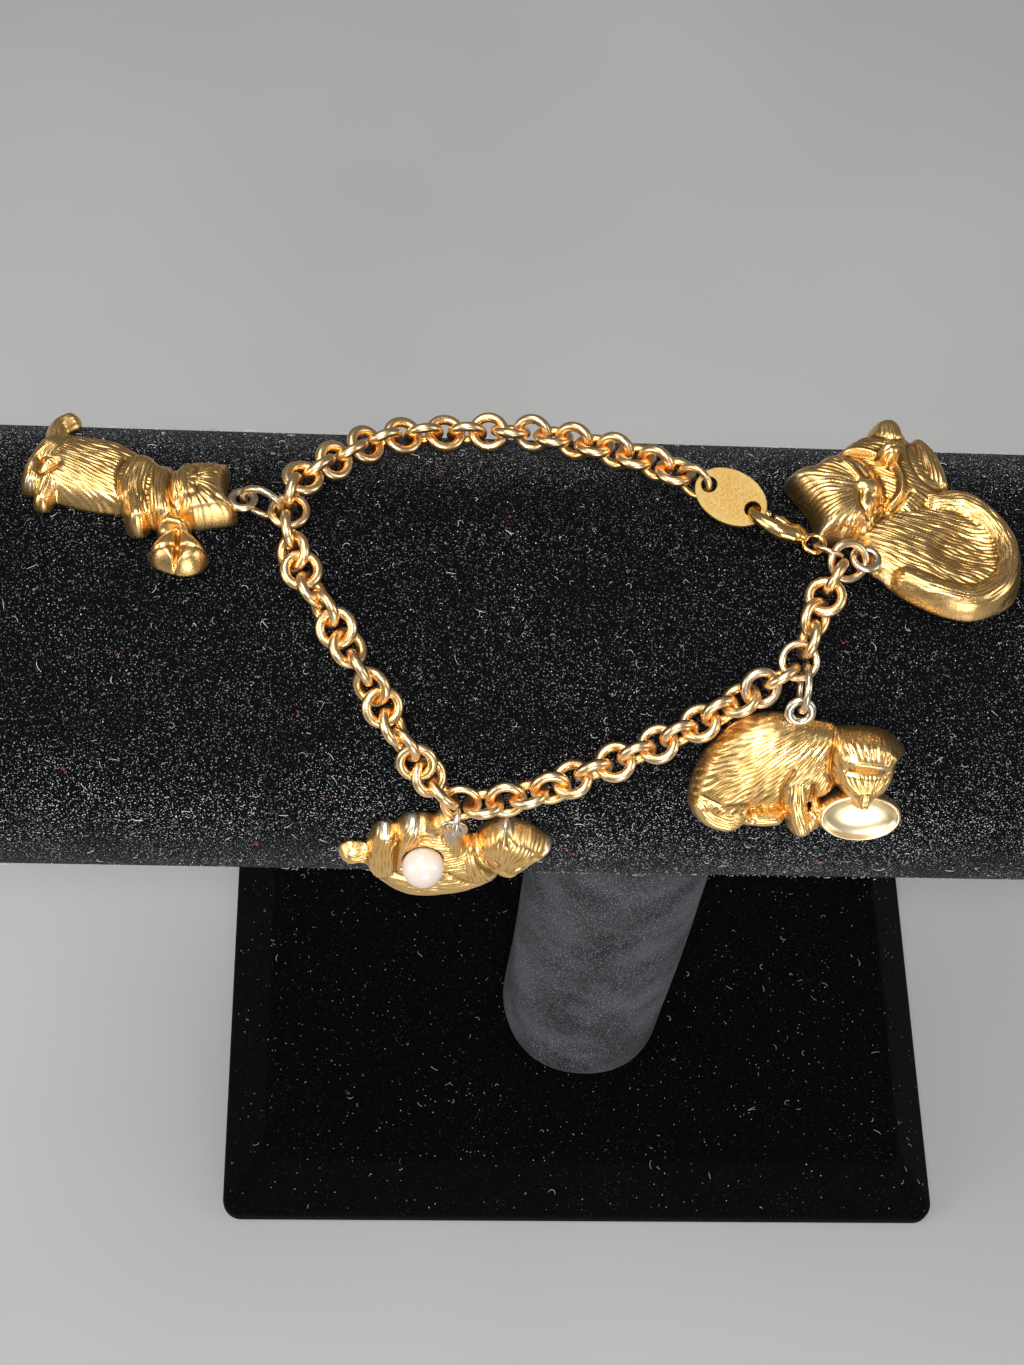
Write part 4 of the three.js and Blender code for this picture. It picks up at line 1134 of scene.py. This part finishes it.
def food_bowl(place):
    """The bowl: its profile turned about an axis straight out of the charm's plane, and narrowed across it.
    Below the rim the outside is beaded: the distance swells and shrinks with the cosine of forty times the
    angle."""
    profile = spline(BOWL_PROFILE, 4)
    turn = np.linspace(0, 2 * np.pi, 240, endpoint=False)
    band = np.exp(-(((profile[:, 1] - 1.9) / 0.3) ** 2)) * (profile[:, 0] > 4.75)
    reach = profile[:, :1] + 0.09 * band[:, None] * np.cos(40 * turn)
    u = BOWL["u"] + reach * np.cos(turn)
    v = BOWL["v"] + BOWL["narrow"] * reach * np.sin(turn)
    w = profile[:, 1:] + 0 * turn
    grid = place(np.stack([u, v, w], axis=-1))
    outside = np.arange(len(profile)) < len(profile) / 2
    # Painted shade, at half strength, on the lower outside of the bowl next to the relief.
    hollow = np.repeat(np.where(outside & (profile[:, 1] < 1.6), 0.5, 0.0), len(turn))
    return outward_facing(skin(grid, hollow=hollow))


place = charm_plane(55)
bowl_cat = joined([relief(BOWL_CAT, place), cast_loop(place, 10.75, -7.25, 1.7, 1.3, 0.55, 1.0)])
make_piece("bowl_cat_cast", bowl_cat, cast_gold, "bowl_cat")
make_piece("food_bowl", food_bowl(place), bowl_gold, None)

# %% [markdown]
# ### The curled cat
# The largest charm: a cat curled up with its tail round a hollow lap, its face turned up, and a bell on
# its collar.

# %% The curled cat
CURLED_CAT = {
    "forms": [
        {
            "outline": [
                (16.4, -10.1), (17.5, -12.2), (19.8, -13.9), (22, -14.3), (25.2, -13.6), (26.4, -12),
                (28.5, -8), (29, -5), (27, -2.5), (24, -1), (21, -2), (19, -5),
            ],
            "edge": 4.6, "rise": 2.9, "foot": 0.8, "fan": (8, -14), "nap": 0.10,
        },  # chest
        {
            "outline": [
                (18.2, -0.5), (17.8, 1), (18.2, 4), (19.2, 5.8), (20, 6.4), (21.7, 8.3), (24.2, 10),
                (27, 11.3), (29.8, 11.8), (32.6, 11), (35.3, 9.1), (36.5, 5.8), (36.9, 2.4), (36.2, 0),
                (34.5, -2.7), (32, -4.9), (29.5, -5.8), (27, -5.6), (24, -5), (20.6, -3.4),
            ],
            "edge": 5.0, "rise": 2.1, "foot": 0.8, "fan": (4, -6), "nap": 0.12,
        },  # lap
        {
            "outline": [
                (25, -12.4), (26.2, -13.6), (27.6, -12.7), (28.8, -10.9), (29.5, -8.1), (29.6, -5.6),
                (28, -4.9), (25.8, -6.2), (24.9, -9.4),
            ],
            "edge": 3.0, "rise": 2.4, "foot": 1.3, "fan": (24, -26),
        },  # haunch
        {
            "spine": [(22.8, -13.9, 2.15), (23.0, -12.3, 2.2)],
            "foot": 1.5, "flat": 1.1, "fan": (22.6, -19), "nap": 0.09,
        },
        {
            "spine": [
                (27.6, -3.6, 1.6), (30.6, -3.6, 1.9), (33.2, -1.5, 1.8), (34.9, 1.6, 1.75),
                (34.8, 5.4, 1.7), (33.2, 8.2, 1.7), (30.0, 9.9, 1.7), (26.0, 9.0, 1.7), (22.8, 7.2, 1.4),
            ],
            "foot": 2.0, "flat": 0.95, "nap": 0.11,
        },  # tail
        {
            "outline": [
                (9.95, -6.7), (11.4, -7.9), (13.1, -8.4), (14.4, -9.5), (16.4, -9.95), (18.4, -9.3),
                (19.9, -8.1), (21, -6), (21.3, -3.6), (20.3, -1.4), (18.9, 0.6), (17.2, 1.5),
                (15.3, 1.75), (13.1, 2.5), (12.6, 1.4), (12.9, -0.4), (12.2, -2.6), (10.6, -5.1),
            ],
            "edge": 3.6, "rise": 2.8, "foot": 2.2, "fan": (19.6, -4.0), "nap": 0.12,
        },  # head
        {"spine": [(18.6, -4.2, 1.1), (19.7, -4.2, 0.9)], "foot": 4.5, "flat": 0.75, "nap": 0.02},  # nose
        {"spine": [(22.1, -9.1, 1.15), (22.15, -9.15, 1.15)], "foot": 4.9, "flat": 0.9, "nap": 0.0},  # bell
    ],
    "marks": [
        {"line": [(16.8, -8.4), (17.6, -7.6), (18.4, -6.2), (18.8, -5.4)], "width": 0.6, "depth": 0.5},
        {"line": [(16.4, -7.4), (17.2, -6.4), (17.9, -5.2)], "width": 0.35, "depth": -0.25},
        {"line": [(18.0, -3.2), (17.9, -1.8), (18.6, -0.6)], "width": 0.45, "depth": 0.5},
        {"line": [(20.3, -3.0), (20.2, -4.2), (20.5, -5.4)], "width": 0.25, "depth": 0.35},
        {"line": [(10.6, -6.7), (12.6, -6.6)], "width": 0.5, "depth": 0.3},
        {"line": [(13.3, 1.8), (14.2, 0.4)], "width": 0.45, "depth": 0.3},
        {"line": [(16.7, -10.7), (18.8, -10.2), (20.8, -9.3)], "width": 0.4, "depth": -0.55},
        {"line": [(22.9, -7.8), (23.25, -6.0), (23.0, -3.9), (21.8, -2.5)], "width": 0.35, "depth": -0.6},
        {"line": [(21.5, -8.9), (22.7, -9.3)], "width": 0.16, "depth": 0.25},
        {
            "line": [
                (22.1, -7.7), (23.1, -8.1), (23.5, -9.1), (23.1, -10.1), (22.1, -10.5), (21.1, -10.1),
                (20.7, -9.1),
            ],
            "width": 0.3, "depth": 0.5,
        },  # round the bell
        {"line": [(24.9, -12.4), (24.6, -9.4), (25.6, -6.2), (27.8, -4.8)], "width": 0.35, "depth": 0.25},
        {"line": [(20.2, -13.4), (22.8, -11.9), (25.0, -12.6)], "width": 0.3, "depth": 0.35},
        {"line": [(19.6, -1.2), (22.2, -2.0), (24.4, -4.4)], "width": 0.3, "depth": 0.3},
    ],
    "dishes": [
        {
            "outline": [
                (25.4, 2.6), (26.6, 0.6), (29.4, -0.6), (32.2, 0.0), (33.9, 1.8), (34.0, 4.2),
                (32.4, 6.0), (29.2, 6.8), (26.6, 5.4),
            ],
            "depth": 0.7, "slope": 2.2,
        },
    ],
    "worn": [(10.2, -6.2, 0.9), (12.9, 1.8, 0.9), (18.0, -7.3, 0.5), (20.4, 6.9, 0.6)],
}
place = charm_plane(-3)
curled_eye = cast_loop(place, 18.3, 4.6, 2.15, 1.42, 0.45, 1.0)
curled_cat = joined([relief(CURLED_CAT, place, cell=0.115), curled_eye])
make_piece("curled_cat_cast", curled_cat, cast_gold, "curled_cat")

# %% [markdown]
# ## The tag and the clasp
# The tag is a thin oval plate, stamped all over, which the clasp hooks into. The clasp is a lobster
# clasp: one strand of metal swells from a fine tip to a thick shank, and a thumb lever closes it against
# a spring. The lever is the bracelet's only joint, so it rides on its own body.


# %% The plane of the clasp and the tag
# Degrees and millimetres: the clasp's place over the bar, and the way it points.
CLASP = {"x": 8.3, "angle": -3.0, "height": 2.4, "heading": -34.7}
CLASP_TILT = 33
TAG_TILT = -24


def clasp_plane(tilt, shift=0.0):
    """The plane of the clasp: its middle, and rows along it, across it and straight out of it, turned about
    the bar's normal by the heading and then about its own length by the tilt."""
    angle, heading = math.radians(CLASP["angle"]), math.radians(CLASP["heading"])
    normal = np.array([0, -math.sin(angle), math.cos(angle)])
    ahead = np.array([1.0, 0, 0])
    along = ahead * math.cos(heading) + np.cross(normal, ahead) * math.sin(heading)
    along = along + normal * (normal @ ahead) * (1 - math.cos(heading))
    side = np.cross(along, normal)
    across = side * math.cos(math.radians(tilt)) + normal * math.sin(math.radians(tilt))
    middle = np.array([CLASP["x"], 0, bar_axis]) + (bar_radius + CLASP["height"]) * normal + shift * along
    return middle, np.array([along, across, np.cross(along, across)])


def carried(points, plane):
    middle, axes = plane
    return middle + np.asarray(points, float) @ axes


# %% The tag
TAG = {"length": 9.0, "width": 6.3, "thickness": 0.8, "hole": 0.95, "hole_at": 2.95}
HOOK_REACH = 3.1


def stamped_tag(plane):
    """The tag: an oval plate with two holes, as a relief. Its rim is a low round ridge, and its face is
    stamped with a shallow pattern of crossing waves and a few raised worms that stand for worn marks."""
    turn = np.linspace(0, 2 * np.pi, 24, endpoint=False)
    oval = np.stack([TAG["length"] / 2 * np.cos(turn), TAG["width"] / 2 * np.sin(turn)], axis=-1)
    worms = []
    for k in range(11):
        at = -1.9 + 0.38 * k
        lift = 0.3 * math.sin(2.3 * k)
        for low in (-1.9, -0.4, 1.0):
            line = [(at, low + lift), (at + 0.16, low + 0.45 + lift), (at + 0.02, low + 0.9 + lift)]
            worms.append({"line": line, "width": 0.13, "depth": -0.12})
    holes = []
    for side in (-TAG["hole_at"], TAG["hole_at"]):
        holes.append({"start": (side, 0), "end": (side, 0.001), "radius": TAG["hole"]})
    plate = {
        "forms": [
            {
                "outline": oval,
                "edge": 0.2, "rise": 0.2, "foot": 0.22, "fan": (-60, 3), "nap": 0.05, "spacing": 0.5,
            },
        ],
        "marks": worms,
        "dishes": [{"outline": oval * 0.86, "depth": 0.12, "slope": 0.25}],
        "holes": holes,
        "rim": (0.15, 0.2),
    }
    return relief(plate, lambda points: carried(points, plane), cell=0.09, back=-TAG["thickness"] / 2)


tag_plane = clasp_plane(TAG_TILT, -HOOK_REACH - TAG["hole_at"] - 0.1)
make_piece("stamped_tag", stamped_tag(tag_plane), tag_gold, "tag")

# %% The clasp
HOOK = [  # along, across and radius, from the tip round to the shank
    (-1.55, -1.2, 0.38), (-2.5, -1.15, 0.46), (-3.0, -0.6, 0.49), (-3.1, 0, 0.50), (-3.0, 0.65, 0.54),
    (-2.4, 1.3, 0.66), (-0.8, 1.75, 0.85), (1.0, 1.65, 0.98), (2.5, 0.75, 1.03),
]
LEVER = [(2.2, -0.8, 0.5), (0.9, -1.5, 0.56), (-0.5, -1.4, 0.4)]
THUMB = [(0.6, -1.7, 0.45), (0.3, -2.0, 0.42), (0.0, -2.2, 0.36)]
SHANK = {"along": 2.5, "across": -0.2, "radii": (1.6, 1.45, 0.95)}
SLOT = {"half": 0.5, "floor": -0.05, "end": 2.95}
PIVOT = (2.2, -0.8)
RIVET = {"radius": 0.32, "face": 0.68, "rise": 0.2}
EYE = {"at": 5.0, "radius": 1.2, "wire": 0.3}
LEVER_THICK = 0.36


def flat_path(rows, steps=8):
    """A spline through rows of along, across and radius, as points in the clasp's plane and their radii."""
    curve = spline(rows, steps)
    return np.column_stack([curve[:, :2], np.zeros(len(curve))]), curve[:, 2]


def slotted_shank():
    """The shank: an ellipsoid. What lies inside the slot, near the middle plane and on the lever's side, is
    pushed back to the slot's floor, and its recess gets painted shade."""
    latitude = np.radians(np.linspace(-88, 88, 60))[:, None]
    longitude = np.linspace(0, 2 * np.pi, 96, endpoint=False)
    rx, ry, rz = SHANK["radii"]
    x = SHANK["along"] + rx * np.cos(latitude) * np.cos(longitude)
    y = SHANK["across"] + ry * np.cos(latitude) * np.sin(longitude)
    z = rz * np.sin(latitude) + 0 * longitude
    in_slot = (np.abs(z) < SLOT["half"]) & (y < SLOT["floor"]) & (x < SLOT["end"])
    y = np.where(in_slot, SLOT["floor"], y)
    return outward_facing(skin(np.stack([x, y, z], axis=-1), hollow=in_slot.astype(float).ravel()))


def in_clasp(form, plane):
    form["points"] = carried(form["points"], plane)
    return form


def rivet_heads():
    """The ends of the pin: on each face, rings that shrink towards the middle as they rise, a shallow
    dome."""
    bend = np.radians(np.array([0.0, 30, 60, 85]))[:, None]
    turn = np.linspace(0, 2 * np.pi, 20, endpoint=False)
    for sign in (-1, 1):
        x = PIVOT[0] + RIVET["radius"] * np.cos(bend) * np.cos(turn)
        y = PIVOT[1] + RIVET["radius"] * np.cos(bend) * np.sin(turn)
        z = sign * (RIVET["face"] + RIVET["rise"] * np.sin(bend)) + 0 * turn
        yield np.stack([x, y, z], axis=-1)


def clasp_shapes():
    """The clasp's body: the hook, the shank, the neck behind it, the pin's two ends, and the eye, which is
    turned back by the clasp's tilt so that it lies along the bar."""
    up = [0, 0, 1]
    hook_path, hook_radius = flat_path(HOOK)
    neck = tube([[3.5, 0, 0], [3.9, 0, 0], [4.2, 0, 0]], [0.6, 0.45, 0.4], up, sides=16)
    rivet = [outward_facing(skin(dome)) for dome in rivet_heads()]
    tilt = math.radians(CLASP_TILT)
    eye_axis = [0, -math.sin(tilt), math.cos(tilt)]
    eye = torus(np.array([EYE["at"], 0, 0]), eye_axis, EYE["radius"], EYE["wire"], steps=44)
    return joined([rod(hook_path, hook_radius, up, 20), slotted_shank(), neck, *rivet, eye])


plane = clasp_plane(CLASP_TILT)
lever_path, lever_radius = flat_path(LEVER)
thumb_path, thumb_radius = flat_path(THUMB, 4)
lever = joined([
    rod(lever_path, lever_radius, [0, 0, 1], 18, LEVER_THICK),
    rod(thumb_path, thumb_radius, [0, 0, 1], 18, LEVER_THICK),
])
clasp_body = outward_facing(in_clasp(clasp_shapes(), plane))
make_piece("clasp_body_cast", clasp_body, clasp_gold, "clasp_body")
make_piece("clasp_lever_cast", in_clasp(lever, plane), clasp_gold, "clasp_lever", LEVER_BODY)

# %% [markdown]
# ## Lint
# Velvet gathers dust. Short curled fibres and specks lie all over it. Each fibre is a thin three-sided
# tube of four spans and each speck an eight-sided grain, so thousands of them cost little, and all are
# worked out in one array.


# %% Lint on the velvet
def fibres(count, spread, lift, generator):
    """Curled threads on a surface: each starts at a place, and its heading turns steadily as it goes, so it
    is an arc. spread gives places as (a, b) in millimetres on the unrolled surface, and lift carries (a, b,
    h) there."""
    a, b = spread(count)
    heading = generator.uniform(0, 2 * np.pi, count)[:, None]
    curl = generator.normal(0, 1.6, count)[:, None]
    length = generator.uniform(0.3, 1.9, count)[:, None]
    t = np.linspace(-0.5, 0.5, 5)[None]
    angle = heading + curl * t * 2
    da, db = np.cumsum(np.cos(angle), axis=1), np.cumsum(np.sin(angle), axis=1)
    pa, pb = a[:, None] + da * length / 5, b[:, None] + db * length / 5
    ph = generator.uniform(0.03, 0.2, count)[:, None] + 0.08 * np.cos(np.pi * t)
    turn = np.radians([90, 210, 330])[None, None]
    thick = generator.uniform(0.022, 0.045, count)[:, None, None]
    section_a = pa[..., None] - thick * np.cos(turn) * np.sin(angle)[..., None]
    section_b = pb[..., None] + thick * np.cos(turn) * np.cos(angle)[..., None]
    section_h = ph[..., None] + thick * np.sin(turn)
    points = lift(section_a, section_b, section_h).reshape(-1, 3)
    index = np.arange(count * 15).reshape(count, 5, 3)
    near, far = index[:, :-1], index[:, 1:]
    walls = np.stack([near, np.roll(near, -1, -1), np.roll(far, -1, -1), far], axis=-1).reshape(-1, 4)
    ends = np.concatenate([index[:, 0, ::-1], index[:, -1]])
    return outward_facing(shape(points, [walls, ends]))


def specks(count, spread, lift, generator):
    """Grains of dust: six points, one each way from a place, and the eight triangles between them."""
    a, b = spread(count)
    size = generator.uniform(0.03, 0.10, count)[:, None]
    da = size * np.array([1, -1, 0, 0, 0, 0])
    db = size * np.array([0, 0, 1, -1, 0, 0])
    dh = size * np.array([0, 0, 0, 0, 1, -1])
    height = generator.uniform(0.0, 0.12, count)[:, None]
    points = lift(a[:, None] + da, b[:, None] + db, height + dh).reshape(-1, 3)
    above = [(0, 2, 4), (2, 1, 4), (1, 3, 4), (3, 0, 4)]
    below = [(2, 0, 5), (1, 2, 5), (3, 1, 5), (0, 3, 5)]
    faces = np.arange(count)[:, None, None] * 6 + np.array(above + below)
    return outward_facing(shape(points, [faces.reshape(-1, 3)]))


def over_bar(a, b, h):
    """From the unrolled bar: a along it, b round it from the top, h out of it."""
    turn, reach = b / bar_radius, bar_radius + h
    return np.stack([a, -reach * np.sin(turn), bar_axis + reach * np.cos(turn)], axis=-1)


dust = np.random.default_rng(11)


def bar_spread(count):
    return dust.uniform(-98, 98, count), dust.uniform(-1, 1, count) * np.pi * bar_radius


bar_lint = joined([fibres(1500, bar_spread, over_bar, dust), specks(7000, bar_spread, over_bar, dust)])
make_piece("bar_lint", bar_lint, lint, None)

base_low, base_high = (np.array(corner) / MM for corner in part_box("stand_base"))
base_half = (base_high - base_low)[:2] / 2
base_top = base_high[2]


def over_base(a, b, h):
    """Over the base: a and b as they are, h above the top or above the bevel, whichever the place is on."""
    inset = np.minimum(base_half[0] - np.abs(a), base_half[1] - np.abs(b))
    slope = (base_top - BASE_RIM) / BASE_BEVEL
    return np.stack([a, b, np.minimum(base_top, BASE_RIM + slope * inset) + h], axis=-1)


def base_spread(count):
    reach_x, reach_y = base_half - 1
    return dust.uniform(-1, 1, count) * reach_x, dust.uniform(-1, 1, count) * reach_y


base_lint = joined([fibres(110, base_spread, over_base, dust), specks(1300, base_spread, over_base, dust)])
make_piece("base_lint", base_lint, lint, None)


# %% Floor
def pale_floor():
    half, depth = 3.0, -0.0002
    mesh = bpy.data.meshes.new("floor")
    corners = [(-half, -half, depth), (half, -half, depth), (half, half, depth), (-half, half, depth)]
    mesh.from_pydata(corners, [], [(0, 1, 2, 3)])
    finish, tree, shader = new_finish("floor_paper")
    tone = blend(tree, ramp(tree, grain(tree, 6, 3), 0.35, 0.65), (0.40, 0.40, 0.39), (0.45, 0.45, 0.44))
    tree.links.new(tone, shader.inputs["Base Color"])
    shader.inputs["Roughness"].default_value = 0.8
    mesh.materials.append(finish)
    floor = bpy.data.objects.new("floor", mesh)
    bpy.context.scene.collection.objects.link(floor)


pale_floor()
